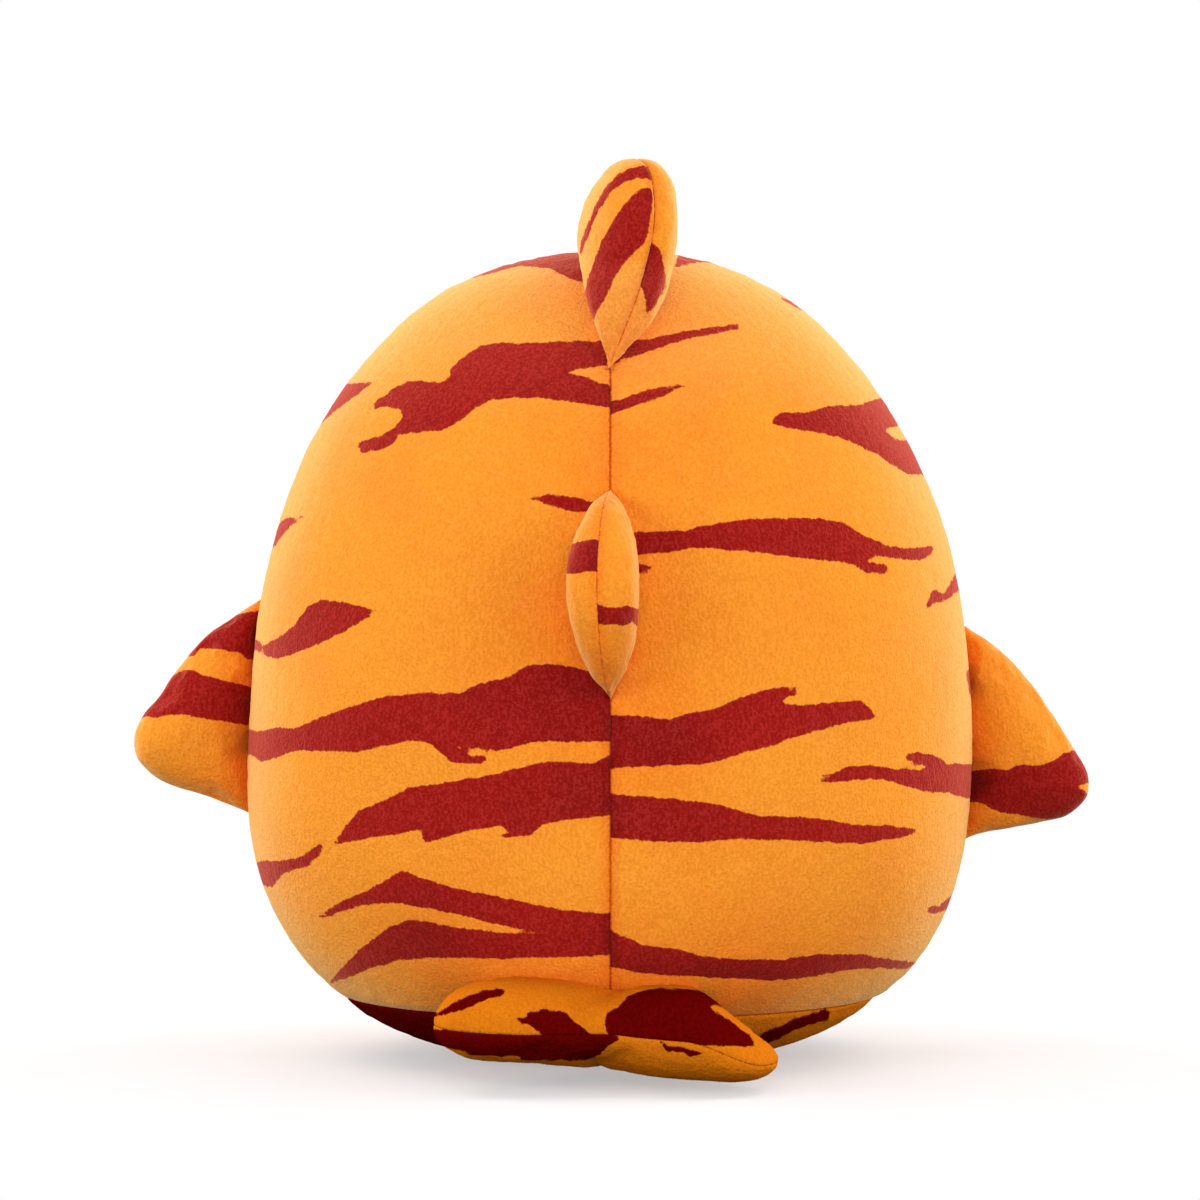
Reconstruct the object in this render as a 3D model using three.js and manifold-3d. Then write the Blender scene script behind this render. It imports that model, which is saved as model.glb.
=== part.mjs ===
// Plush tiger shark that sits upright: a stuffed egg-shaped body, two dorsal, two pectoral and a tail fin
// Millimetres and degrees, +Z up. The face looks along +Y, the floor is Z = 0.
import * as THREE from "three";
import { mergeVertices } from "three/addons/utils/BufferGeometryUtils.js";
import Module from "manifold-3d";

const wasm = await Module();
wasm.setup();

// Body: an egg with its widest ring below the middle, pressed flat where it sits
const BODY_WIDTH = 290;
const BODY_DEPTH = 250;
const EQUATOR_HEIGHT = 120; // floor to the widest ring
const CROWN_RISE = 202; // widest ring to the crown
const PRESSED_FLAT = 3; // how much of the round underside the floor takes away
const CROWN_ROUNDNESS = 2.25; // exponents of the two superellipses, where 2 is an ellipse
const UNDERSIDE_ROUNDNESS = 2.7;

// Cloth, seams and stuffing
const CLOTH = 2; // pile fabric and its backing
const SEAM_GAP = 0.4; // between two panels along a seam
const FILL_GAP = 0.4; // between cloth and stuffing
const BASE_SEAM_HEIGHT = 23; // floor to the seam round the base panel
const SIDE_SEAM_TURN = 95.5; // from the centre back seam round to each side seam
const BELLY_HALF_WIDTH = 84;
const BELLY_TOP_ABOVE_EQUATOR = 24;
const BELLY_ROUNDNESS = 2.6;
const BELLY_BELOW_BASE_SEAM = 1; // how far the belly's outline goes on past the seam that cuts it off

// Fin roots: each fin is sewn into a seam, so that it is pinched thin there
const ROOT_TUCK = 0.8; // how far the pinched edge lies under the body's skin
const ROOT_SEAM = 3; // how far the two cloths lie flat on each other along the root
const ROOT_GAP = 0.7; // between the body's skin and the cut root of a fin
const ROOT_SLENDERNESS = 1.3; // exponents of the swelling from the root and from the free edge
const EDGE_SLENDERNESS = 0.5;
const ROOT_SWELL_SHARE = 1.8; // from root and edge to the full thickness, as a share of half of it
const EDGE_SWELL_SHARE = 1.3;
const MIDDLE_SHARE = 0.46; // height of a fin's middle as a share of its reach

// First dorsal fin, on the centre back seam below the crown
const DORSAL_REAR_BELOW_CROWN = 42;
const DORSAL_FRONT_BEHIND_AXIS = 10;
const DORSAL_THICKNESS = 36;
const DORSAL_LEAN = 8; // to +X
// Edge points are [along, out], from the start of the root
const DORSAL_EDGE = [[4, 32], [17, 58], [37, 68.5], [56, 59], [74, 32]];

// Second dorsal fin, lower on the centre back seam
const REAR_DORSAL_LOW_ABOVE_EQUATOR = 31;
const REAR_DORSAL_HIGH_ABOVE_EQUATOR = 112;
const REAR_DORSAL_THICKNESS = 31;
const REAR_DORSAL_LEAN = -8;
const REAR_DORSAL_EDGE = [[7, 14], [22, 30], [40, 37], [56, 31], [73, 15]];

// Pectoral fins, in the side seams; the right one sits lower and hangs a little
const PECTORAL_ROOT = 84;
const PECTORAL_THICKNESS = 28;
const PECTORAL_EDGE = [[4, 18.4], [12, 39.8], [26, 48.9], [40, 43.7], [59, 29], [76.5, 13]];
const PECTORAL_LOW_BELOW_EQUATOR = { left: 23, right: 33.5 };
const PECTORAL_DROOP = { left: 0, right: 6 };
const PECTORAL_STRETCH = { left: 1, right: 1.07 }; // of its reach from the body

// Tail fin, in the base seam at the back
const TAIL_ROOT = 84;
const TAIL_THICKNESS = 33;
const TAIL_DROOP = 0; // below level, towards its free edge
const TAIL_ROLL = 2.5; // the right lobe is lower
const TAIL_LOBE = [[-16, 16], [-25, 37], [-18, 56], [3, 62], [27, 55]]; // the left half of the edge
const TAIL_NOTCH_OUT = 47;

// Face, embroidered on the front
const THREAD = 1.2; // height of the embroidery
const THREAD_GAP = 0.3; // between embroidery and what it is stitched on
const EYE_APART = 104; // between the eyes' centres
const EYE_ABOVE_EQUATOR = 84;
const EYE_WIDTH = 19;
const EYE_HEIGHT = 23;
const PUPIL_WIDTH = 9;
const PUPIL_HEIGHT = 17;
const MOUTH_RADIUS = 84;
const MOUTH_HALF_ANGLE = 40;
const MOUTH_LOW_ABOVE_EQUATOR = 44;
const MOUTH_LINE = 4;
const TOOTH_COUNT = 8;
const TOOTH_DROP = 11;
const TOOTH_STRIP = 3; // felt between the mouth line and the notches of the teeth
const TEETH_HALF_ANGLE = 32;
const GILL_COUNT = 3; // on each side
const GILL_LENGTH = 30;
const GILL_LINE = 3.4;
const GILL_BEND = 34; // radius of a gill slit's curve
const GILL_PITCH = 11;
const GILL_FIRST_FROM_SIDE = 55; // in from the widest ring
const GILL_ABOVE_EQUATOR = 26;

// Facets
const BODY_SEGMENTS = 28;
const UNDERSIDE_RINGS = 7;
const CROWN_RINGS = 11;
const ROOT_POINTS = 6;
const EDGE_POINTS = 14;
const TAIL_EDGE_POINTS = 22;
const FIN_RINGS = 5;
const BELLY_POINTS = 26;
const ARC_POINTS = 6;
const SHARPEST_MITRE = 0.7; // cosine of half the turn at which a corner's inset stops growing
const WELD = 1e-4; // corners nearer to each other than this are one

const CROWN_HEIGHT = EQUATOR_HEIGHT + CROWN_RISE;
const UNDERSIDE_DROP = EQUATOR_HEIGHT + PRESSED_FLAT;
const REACH = 2 * (BODY_WIDTH + BODY_DEPTH + CROWN_HEIGHT); // longer than anything it cuts

// Materials
const finish = (color, roughness) => new THREE.MeshStandardMaterial({ color, roughness, metalness: 0 });
const tigerPlush = finish(0xf79a32, 0.95);
const creamPlush = finish(0xf6e3c0, 0.95);
const stuffing = finish(0xf4f2ec, 1);
const amberThread = finish(0xf0b020, 0.6);
const blackThread = finish(0x17110f, 0.5);
const maroonThread = finish(0x7a1c18, 0.6);
const whiteFelt = finish(0xf7f3ea, 1);

// Solids: three.js geometry in, manifold solid for joins and cuts, three.js geometry out
function solidOf(geometry) {
  const bare = geometry.index ? geometry.toNonIndexed() : geometry.clone();
  bare.deleteAttribute("normal");
  bare.deleteAttribute("uv");
  const merged = mergeVertices(bare, WELD);
  const corners = merged.index.array;
  const triangles = [];
  for (let i = 0; i < corners.length; i += 3) {
    const [a, b, c] = corners.subarray(i, i + 3);
    if (a !== b && b !== c && c !== a) triangles.push(a, b, c);
  }
  return new wasm.Manifold(
    new wasm.Mesh({
      numProp: 3,
      vertProperties: merged.attributes.position.array,
      triVerts: new Uint32Array(triangles),
    }),
  );
}

function geometryOf(solid) {
  const mesh = solid.getMesh();
  const geometry = new THREE.BufferGeometry();
  geometry.setAttribute("position", new THREE.BufferAttribute(new Float32Array(mesh.vertProperties), 3));
  geometry.setIndex(new THREE.BufferAttribute(new Uint32Array(mesh.triVerts), 1));
  geometry.computeVertexNormals();
  return geometry;
}

// A named piece; where cuts leave a crumb beside it, the crumb is dropped
function piece(name, solid, material) {
  const [whole] = solid.decompose().sort((a, b) => b.volume() - a.volume());
  const mesh = new THREE.Mesh(geometryOf(whole), material);
  mesh.name = name;
  return mesh;
}

// Everything on the side of a plane that its normal points to, as a large block
function halfSpace(normal, distance) {
  const block = new THREE.BoxGeometry(REACH, REACH, REACH);
  block.translate(0, 0, REACH / 2 + distance);
  const turn = new THREE.Quaternion().setFromUnitVectors(new THREE.Vector3(0, 0, 1), normal);
  return solidOf(block.applyQuaternion(turn));
}
const AXIS = {
  right: new THREE.Vector3(1, 0, 0),
  left: new THREE.Vector3(-1, 0, 0),
  front: new THREE.Vector3(0, 1, 0),
  back: new THREE.Vector3(0, -1, 0),
  up: new THREE.Vector3(0, 0, 1),
  down: new THREE.Vector3(0, 0, -1),
};

// Body surface
function superellipse(share, exponent) {
  return (1 - Math.abs(share) ** exponent) ** (1 / exponent);
}

function halfWidthAt(height) {
  const rise = height - EQUATOR_HEIGHT;
  const shape =
    rise > 0
      ? superellipse(rise / CROWN_RISE, CROWN_ROUNDNESS)
      : superellipse(rise / UNDERSIDE_DROP, UNDERSIDE_ROUNDNESS);
  return (BODY_WIDTH / 2) * shape;
}

const halfDepthAt = (height) => (halfWidthAt(height) * BODY_DEPTH) / BODY_WIDTH;

// The height of the back's surface where it lies this far behind the body's axis, above the widest ring
function crownHeightAt(behind) {
  return EQUATOR_HEIGHT + CROWN_RISE * superellipse(behind / (BODY_DEPTH / 2), CROWN_ROUNDNESS);
}

// The whole body with its skin moved inwards by inset
function egg(inset) {
  const halfWidth = BODY_WIDTH / 2 - inset;
  const profile = [new THREE.Vector2(0, inset)];
  const arc = (angle, exponent, rise) => {
    const out = halfWidth * Math.max(0, Math.cos(angle)) ** (2 / exponent);
    profile.push(new THREE.Vector2(out, EQUATOR_HEIGHT + rise * Math.sin(angle) ** (2 / exponent)));
  };
  const under = UNDERSIDE_DROP - inset;
  const floorAngle = Math.asin(((EQUATOR_HEIGHT - inset) / under) ** (UNDERSIDE_ROUNDNESS / 2));
  for (let i = UNDERSIDE_RINGS; i > 0; i--) {
    arc((floorAngle * i) / UNDERSIDE_RINGS, UNDERSIDE_ROUNDNESS, -under);
  }
  for (let i = 0; i < CROWN_RINGS; i++) {
    arc(((Math.PI / 2) * i) / CROWN_RINGS, CROWN_ROUNDNESS, CROWN_RISE - inset);
  }
  profile.push(new THREE.Vector2(0, CROWN_HEIGHT - inset));
  const geometry = new THREE.LatheGeometry(profile, BODY_SEGMENTS);
  geometry.rotateX(Math.PI / 2);
  geometry.scale(1, (BODY_DEPTH / 2 - inset) / halfWidth, 1);
  return solidOf(geometry);
}

// A flat outline in the X-Z plane, pushed through the front half of the body
function frontPrism(shape) {
  const options = { depth: BODY_DEPTH, bevelEnabled: false, curveSegments: ARC_POINTS };
  const geometry = new THREE.ExtrudeGeometry(shape, options);
  geometry.rotateX(Math.PI / 2);
  geometry.translate(0, BODY_DEPTH, 0);
  return solidOf(geometry);
}

// Body cover: two back panels, a face panel with the belly set into it, and a base panel, round the stuffing
function bellyShape(margin) {
  const halfWidth = BELLY_HALF_WIDTH + margin;
  const foot = BASE_SEAM_HEIGHT - BELLY_BELOW_BASE_SEAM - margin;
  const rise = EQUATOR_HEIGHT + BELLY_TOP_ABOVE_EQUATOR + margin - foot;
  const shape = new THREE.Shape();
  shape.moveTo(-halfWidth, foot);
  shape.lineTo(halfWidth, foot);
  for (let i = 1; i < BELLY_POINTS; i++) {
    const angle = (Math.PI * i) / BELLY_POINTS;
    const across = Math.sign(Math.cos(angle)) * Math.abs(Math.cos(angle)) ** (2 / BELLY_ROUNDNESS);
    shape.lineTo(halfWidth * across, foot + rise * Math.sin(angle) ** (2 / BELLY_ROUNDNESS));
  }
  shape.closePath();
  return shape;
}

// Side seams run from the crown to the base in upright planes through the body's axis
function sideSeamNormal(sign) {
  const turn = THREE.MathUtils.degToRad(SIDE_SEAM_TURN);
  return new THREE.Vector3(sign * Math.cos(turn), Math.sin(turn), 0);
}

function bodyPieces() {
  const half = SEAM_GAP / 2;
  const cover = egg(0).subtract(egg(CLOTH));
  const upper = cover.intersect(halfSpace(AXIS.up, BASE_SEAM_HEIGHT + half));
  const beyondSeam = { left: sideSeamNormal(-1), right: sideSeamNormal(1) };
  const backPanel = (side) => {
    const behindSeam = halfSpace(beyondSeam[side].clone().negate(), half);
    return upper.intersect(halfSpace(AXIS[side], half)).intersect(behindSeam);
  };
  const inFrontOf = (side) => halfSpace(beyondSeam[side], half);
  const front = upper.intersect(inFrontOf("left")).intersect(inFrontOf("right"));
  return [
    piece("body_back_panel_left", backPanel("left"), tigerPlush),
    piece("body_back_panel_right", backPanel("right"), tigerPlush),
    piece("face_panel", front.subtract(frontPrism(bellyShape(half))), tigerPlush),
    piece("belly_panel", front.intersect(frontPrism(bellyShape(-half))), creamPlush),
    piece("base_panel", cover.intersect(halfSpace(AXIS.down, half - BASE_SEAM_HEIGHT)), tigerPlush),
    piece("body_stuffing", egg(CLOTH + FILL_GAP), stuffing),
  ];
}

// Fins: a flat outline whose root follows the body's skin, swollen on both sides into a pillow
// The frame has its X axis along the root, Y outwards in the fin's plane and Z through its thickness.
function finFrame(rootStart, rootEnd, outwards, lean) {
  const along = rootEnd.clone().sub(rootStart).normalize();
  const through = along.clone().cross(outwards).normalize();
  const out = through.clone().cross(along);
  const frame = new THREE.Matrix4().makeBasis(along, out, through).setPosition(rootStart);
  return frame.multiply(new THREE.Matrix4().makeRotationX(THREE.MathUtils.degToRad(lean)));
}

// Root points on the body, taken into the fin's plane and tucked under the skin, then the free edge
function finOutline(frame, rootPoints, edgePoints, edgeCount = EDGE_POINTS) {
  const toPlane = frame.clone().invert();
  const root = rootPoints.map((p) => p.clone().applyMatrix4(toPlane));
  const last = root.length - 1;
  const free = edgePoints.map(([along, out]) => new THREE.Vector3(along, out, 0)).reverse();
  const edge = new THREE.CatmullRomCurve3([root[last], ...free, root[0]]).getPoints(edgeCount).slice(1, -1);
  const points = [
    ...root.map((p) => ({ at: new THREE.Vector3(p.x, p.y - ROOT_TUCK, 0), root: true })),
    ...edge.map((p) => ({ at: new THREE.Vector3(p.x, p.y, 0), root: false })),
  ];
  const middle = new THREE.Vector3();
  edge.forEach((p) => middle.add(p));
  middle.divideScalar(edge.length).setY(Math.max(...edge.map((p) => p.y)) * MIDDLE_SHARE);
  return { points, middle };
}

// The outline moved inwards, and further along the root, where the two cloths lie flat on each other
function insetOutline(points, inset) {
  const count = points.length;
  return points.map(({ at, root }, i) => {
    const arriving = at.clone().sub(points[(i + count - 1) % count].at).normalize();
    const leaving = points[(i + 1) % count].at.clone().sub(at).normalize();
    const side = arriving.clone().add(leaving).normalize();
    const depth = inset > 0 && root ? inset + ROOT_SEAM : inset;
    const mitre = depth / Math.max(SHARPEST_MITRE, side.dot(leaving));
    return { at: new THREE.Vector3(at.x - side.y * mitre, at.y + side.x * mitre, 0), root };
  });
}

function distanceTo(lines, point) {
  const nearest = new THREE.Vector3();
  return Math.min(...lines.map((line) => line.closestPointToPoint(point, true, nearest).distanceTo(point)));
}

function pillow({ points, middle }, thickness, inset) {
  const rim = insetOutline(points, inset);
  const count = rim.length;
  const sides = rim.map(({ at, root }, i) => {
    const next = rim[(i + 1) % count];
    return { line: new THREE.Line3(at, next.at), root: root && next.root };
  });
  const rootLines = sides.filter((side) => side.root).map((side) => side.line);
  const edgeLines = sides.filter((side) => !side.root).map((side) => side.line);
  const swell = thickness / 2 - inset;
  const swollenBy = (distance, reach, slenderness) => {
    const remaining = Math.max(0, 1 - distance / (reach * swell));
    return (1 - remaining ** 2) ** slenderness;
  };
  const vertices = rim.flatMap(({ at }) => at.toArray());
  for (const face of [1, -1]) {
    const raise = (point) => {
      const fromRoot = swollenBy(distanceTo(rootLines, point), ROOT_SWELL_SHARE, ROOT_SLENDERNESS);
      const fromEdge = swollenBy(distanceTo(edgeLines, point), EDGE_SWELL_SHARE, EDGE_SLENDERNESS);
      vertices.push(point.x, point.y, face * swell * fromRoot * fromEdge);
    };
    for (let ring = 1; ring < FIN_RINGS; ring++) {
      const share = Math.sin((Math.PI / 2) * (ring / FIN_RINGS)) ** 2; // 0 at the edge, 1 in the middle
      rim.forEach(({ at }) => raise(at.clone().lerp(middle, share)));
    }
    raise(middle);
  }
  const triangles = [];
  const faceStart = (face) => count + (face > 0 ? 0 : (FIN_RINGS - 1) * count + 1);
  for (const face of [1, -1]) {
    const at = (ring, i) => (ring === 0 ? i % count : faceStart(face) + (ring - 1) * count + (i % count));
    const add = (a, b, c) => triangles.push(...(face > 0 ? [a, b, c] : [a, c, b]));
    for (let i = 0; i < count; i++) {
      for (let ring = 0; ring < FIN_RINGS - 1; ring++) {
        add(at(ring, i), at(ring, i + 1), at(ring + 1, i + 1));
        add(at(ring, i), at(ring + 1, i + 1), at(ring + 1, i));
      }
      add(at(FIN_RINGS - 1, i), at(FIN_RINGS - 1, i + 1), faceStart(face) + (FIN_RINGS - 1) * count);
    }
  }
  const geometry = new THREE.BufferGeometry();
  geometry.setAttribute("position", new THREE.BufferAttribute(new Float32Array(vertices), 3));
  geometry.setIndex(triangles);
  return geometry;
}

// Two cover panels that meet in the seam round the fin's edge, and the stuffing between them
function finPieces(name, faces, frame, outline, thickness) {
  const bodyCut = egg(-ROOT_GAP);
  const swollen = (inset) => solidOf(pillow(outline, thickness, inset).applyMatrix4(frame)).subtract(bodyCut);
  const cover = swollen(0).subtract(swollen(CLOTH));
  const through = new THREE.Vector3().setFromMatrixColumn(frame, 2);
  const plane = through.dot(new THREE.Vector3().setFromMatrixPosition(frame));
  const half = SEAM_GAP / 2;
  const above = cover.intersect(halfSpace(through, plane + half));
  const below = cover.intersect(halfSpace(through.clone().negate(), half - plane));
  return [
    piece(`${name}_${faces[0]}_panel`, above, tigerPlush),
    piece(`${name}_${faces[1]}_panel`, below, tigerPlush),
    piece(`${name}_stuffing`, swollen(CLOTH + FILL_GAP), stuffing),
  ];
}

const stations = (count, make) => Array.from({ length: count }, (_, i) => make(i / (count - 1)));

function dorsalFin() {
  const rearHeight = CROWN_HEIGHT - DORSAL_REAR_BELOW_CROWN;
  const rearBehind = halfDepthAt(rearHeight);
  const root = stations(ROOT_POINTS, (t) => {
    const behind = THREE.MathUtils.lerp(rearBehind, DORSAL_FRONT_BEHIND_AXIS, t);
    return new THREE.Vector3(0, -behind, crownHeightAt(behind));
  });
  const frame = finFrame(root[0], root[ROOT_POINTS - 1], AXIS.up, DORSAL_LEAN);
  const outline = finOutline(frame, root, DORSAL_EDGE);
  return finPieces("dorsal_fin", ["right", "left"], frame, outline, DORSAL_THICKNESS);
}

function rearDorsalFin() {
  const low = EQUATOR_HEIGHT + REAR_DORSAL_LOW_ABOVE_EQUATOR;
  const high = EQUATOR_HEIGHT + REAR_DORSAL_HIGH_ABOVE_EQUATOR;
  const root = stations(ROOT_POINTS, (t) => {
    const height = THREE.MathUtils.lerp(low, high, t);
    return new THREE.Vector3(0, -halfDepthAt(height), height);
  });
  const frame = finFrame(root[0], root[ROOT_POINTS - 1], AXIS.back, REAR_DORSAL_LEAN);
  const outline = finOutline(frame, root, REAR_DORSAL_EDGE);
  return finPieces("rear_dorsal_fin", ["right", "left"], frame, outline, REAR_DORSAL_THICKNESS);
}

function pectoralFin(side) {
  const sign = side === "right" ? 1 : -1;
  const low = EQUATOR_HEIGHT - PECTORAL_LOW_BELOW_EQUATOR[side];
  const seam = sideSeamNormal(sign);
  const root = stations(ROOT_POINTS, (t) => {
    const height = low + PECTORAL_ROOT * t;
    const reach = 1 / Math.hypot(seam.y / halfWidthAt(height), seam.x / halfDepthAt(height));
    return new THREE.Vector3(sign * seam.y * reach, -sign * seam.x * reach, height);
  });
  const frame = finFrame(root[0], root[ROOT_POINTS - 1], side === "right" ? AXIS.right : AXIS.left, 0);
  const pivot = new THREE.Vector2(PECTORAL_ROOT / 2, 0);
  const droop = THREE.MathUtils.degToRad(PECTORAL_DROOP[side]);
  const edge = PECTORAL_EDGE.map(([along, out]) => {
    const stretched = new THREE.Vector2(along, out * PECTORAL_STRETCH[side]);
    return stretched.rotateAround(pivot, droop).toArray();
  });
  const faces = side === "right" ? ["front", "back"] : ["back", "front"];
  const outline = finOutline(frame, root, edge);
  return finPieces(`${side}_pectoral_fin`, faces, frame, outline, PECTORAL_THICKNESS);
}

function tailFin() {
  const halfWidth = halfWidthAt(BASE_SEAM_HEIGHT);
  const root = stations(ROOT_POINTS, (t) => {
    const across = THREE.MathUtils.lerp(-TAIL_ROOT / 2, TAIL_ROOT / 2, t);
    const back = halfDepthAt(BASE_SEAM_HEIGHT) * Math.sqrt(1 - (across / halfWidth) ** 2);
    return new THREE.Vector3(across, -back, BASE_SEAM_HEIGHT);
  });
  const rolled = AXIS.right.clone().applyAxisAngle(AXIS.front, THREE.MathUtils.degToRad(TAIL_ROLL));
  const start = root[0].clone();
  const frame = finFrame(start, start.clone().add(rolled), AXIS.back, 0);
  frame.multiply(new THREE.Matrix4().makeTranslation(TAIL_ROOT / 2, 0, 0));
  frame.setPosition(new THREE.Vector3(0, start.y, BASE_SEAM_HEIGHT));
  frame.multiply(new THREE.Matrix4().makeRotationX(THREE.MathUtils.degToRad(TAIL_DROOP)));
  frame.multiply(new THREE.Matrix4().makeTranslation(-TAIL_ROOT / 2, 0, 0));
  const mirrored = TAIL_LOBE.map(([along, out]) => [TAIL_ROOT - along, out]).reverse();
  const edge = [...TAIL_LOBE, [TAIL_ROOT / 2, TAIL_NOTCH_OUT], ...mirrored];
  const outline = finOutline(frame, root, edge, TAIL_EDGE_POINTS);
  return finPieces("tail_fin", ["lower", "upper"], frame, outline, TAIL_THICKNESS);
}

// Face: embroidery and felt that lie on the front of the body
function ellipseShape(x, z, width, height) {
  return new THREE.Shape().absellipse(x, z, width / 2, height / 2, 0, 2 * Math.PI);
}

// A band of even width along an arc, between two angles from straight down
function arcBand(centreX, centreZ, radius, from, to, width) {
  const down = -Math.PI / 2;
  const shape = new THREE.Shape();
  shape.absarc(centreX, centreZ, radius + width / 2, down + from, down + to, false);
  shape.absarc(centreX, centreZ, radius - width / 2, down + to, down + from, true);
  return shape;
}

// What lies on the front between two heights above the skin, within an outline
function onFront(shape, low, high) {
  return egg(-high).subtract(egg(-low)).intersect(frontPrism(shape));
}

function eyePieces(side) {
  const x = ((side === "right" ? 1 : -1) * EYE_APART) / 2;
  const z = EQUATOR_HEIGHT + EYE_ABOVE_EQUATOR;
  const top = THREAD_GAP + THREAD;
  const iris = onFront(ellipseShape(x, z, EYE_WIDTH, EYE_HEIGHT), THREAD_GAP, top);
  const pupil = onFront(ellipseShape(x, z, PUPIL_WIDTH, PUPIL_HEIGHT), top + THREAD_GAP, 2 * top);
  return [piece(`${side}_eye_iris`, iris, amberThread), piece(`${side}_eye_pupil`, pupil, blackThread)];
}

function mouthPieces() {
  const centreZ = EQUATOR_HEIGHT + MOUTH_LOW_ABOVE_EQUATOR + MOUTH_RADIUS;
  const half = THREE.MathUtils.degToRad(MOUTH_HALF_ANGLE);
  const line = arcBand(0, centreZ, MOUTH_RADIUS, -half, half, MOUTH_LINE);
  const teethHalf = THREE.MathUtils.degToRad(TEETH_HALF_ANGLE);
  const gum = MOUTH_RADIUS + MOUTH_LINE / 2 + SEAM_GAP;
  const teeth = new THREE.Shape();
  teeth.absarc(0, centreZ, gum, -Math.PI / 2 + teethHalf, -Math.PI / 2 - teethHalf, true);
  for (let i = 0; i <= 2 * TOOTH_COUNT; i++) {
    const angle = -Math.PI / 2 - teethHalf + (teethHalf * i) / TOOTH_COUNT;
    const radius = gum + TOOTH_STRIP + (i % 2) * TOOTH_DROP;
    teeth.lineTo(radius * Math.cos(angle), centreZ + radius * Math.sin(angle));
  }
  return [
    piece("mouth_line", onFront(line, THREAD_GAP, THREAD_GAP + THREAD), maroonThread),
    piece("felt_teeth", onFront(teeth, THREAD_GAP, THREAD_GAP + THREAD), whiteFelt),
  ];
}

function gillPieces(side) {
  const sign = side === "right" ? 1 : -1;
  const half = GILL_LENGTH / 2 / GILL_BEND;
  const first = BODY_WIDTH / 2 - GILL_FIRST_FROM_SIDE;
  return Array.from({ length: GILL_COUNT }, (_, i) => {
    const x = sign * (first + i * GILL_PITCH - GILL_BEND);
    const z = EQUATOR_HEIGHT + GILL_ABOVE_EQUATOR;
    const level = (sign * Math.PI) / 2;
    const slit = arcBand(x, z, GILL_BEND, level - half, level + half, GILL_LINE);
    return piece(`${side}_gill_slit_${i + 1}`, onFront(slit, THREAD_GAP, THREAD_GAP + THREAD), maroonThread);
  });
}

const shark = new THREE.Group();
shark.add(...bodyPieces(), ...dorsalFin(), ...rearDorsalFin(), ...tailFin(), ...mouthPieces());
for (const side of ["left", "right"]) {
  shark.add(...pectoralFin(side), ...eyePieces(side), ...gillPieces(side));
}

export default shark;
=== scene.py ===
"""Stuffed tiger shark: sewn plush covers, padded fins, an embroidered face and the stage it sits on."""

import math

import bpy
import numpy as np
from bpy.props import FloatProperty, FloatVectorProperty, PointerProperty
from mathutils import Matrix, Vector, kdtree, noise


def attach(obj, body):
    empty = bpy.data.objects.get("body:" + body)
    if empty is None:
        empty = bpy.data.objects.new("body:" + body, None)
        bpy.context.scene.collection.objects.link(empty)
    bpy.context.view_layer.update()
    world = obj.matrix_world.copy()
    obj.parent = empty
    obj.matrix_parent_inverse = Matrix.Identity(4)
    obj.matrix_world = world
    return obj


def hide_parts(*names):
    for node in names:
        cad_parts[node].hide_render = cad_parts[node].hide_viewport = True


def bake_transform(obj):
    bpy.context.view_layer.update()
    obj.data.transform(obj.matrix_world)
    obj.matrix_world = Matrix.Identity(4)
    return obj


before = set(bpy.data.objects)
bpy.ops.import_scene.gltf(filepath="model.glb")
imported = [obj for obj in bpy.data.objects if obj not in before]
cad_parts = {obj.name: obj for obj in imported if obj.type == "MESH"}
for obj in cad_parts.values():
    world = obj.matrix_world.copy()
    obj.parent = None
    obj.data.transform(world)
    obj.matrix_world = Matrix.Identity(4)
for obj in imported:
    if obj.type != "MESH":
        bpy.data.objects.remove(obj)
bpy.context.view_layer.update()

bl_info = {
    "name": "Stuffed tiger shark",
    "version": (1, 0, 0),
    "blender": (4, 5, 0),
    "location": "3D View > Sidebar > Shark",
    "description": "Sews the covers, fins and face of a stuffed tiger shark and sets its stage",
    "category": "Object",
}

# Fin edges in metres: (along the root, out from the body), from the start of the root
DORSAL_EDGE = ((0.004, 0.032), (0.017, 0.0570), (0.037, 0.0676), (0.056, 0.0580), (0.074, 0.032))
REAR_DORSAL_EDGE = ((0.006, 0.015), (0.021, 0.031), (0.040, 0.037), (0.057, 0.032), (0.0745, 0.016))
LEFT_PECTORAL_EDGE = (
    (0.0036, 0.0164), (0.0101, 0.0379), (0.0152, 0.0447), (0.0198, 0.0478), (0.0278, 0.0486),
    (0.0359, 0.0453), (0.0430, 0.0397), (0.0520, 0.0345), (0.0681, 0.0221), (0.0760, 0.0120),
)
RIGHT_PECTORAL_EDGE = (
    (0.0004, 0.0060), (0.0048, 0.0300), (0.0082, 0.0424), (0.0150, 0.0494), (0.0235, 0.0500),
    (0.0335, 0.0448), (0.0475, 0.0364), (0.0600, 0.0279), (0.0725, 0.0168),
)
TAIL_LOBE = ((-0.0155, 0.016), (-0.024, 0.037), (-0.0175, 0.056), (0.003, 0.062), (0.027, 0.055))

# The photograph: 1200 x 1200 pixels, and the size of one of them at the shark's axis
PHOTO_PIXELS = 1200
PIXEL = 0.0004
PHOTO_DISTANCE = 3.0
PHOTO_ELEVATION = math.radians(3.5)
PHOTO_TARGET = (-0.004, 0.0, 0.1819)
SENSOR = 36.0
# Column of the shark's axis, and the row of the axis where the back's stripes are laid out under the base
AXIS_COLUMN = PHOTO_PIXELS / 2 - PHOTO_TARGET[0] / PIXEL
UNDERSIDE_ROW = 640
# The base takes its stripes from the photograph above this height
SHOWN_ABOVE = 0.004

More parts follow.
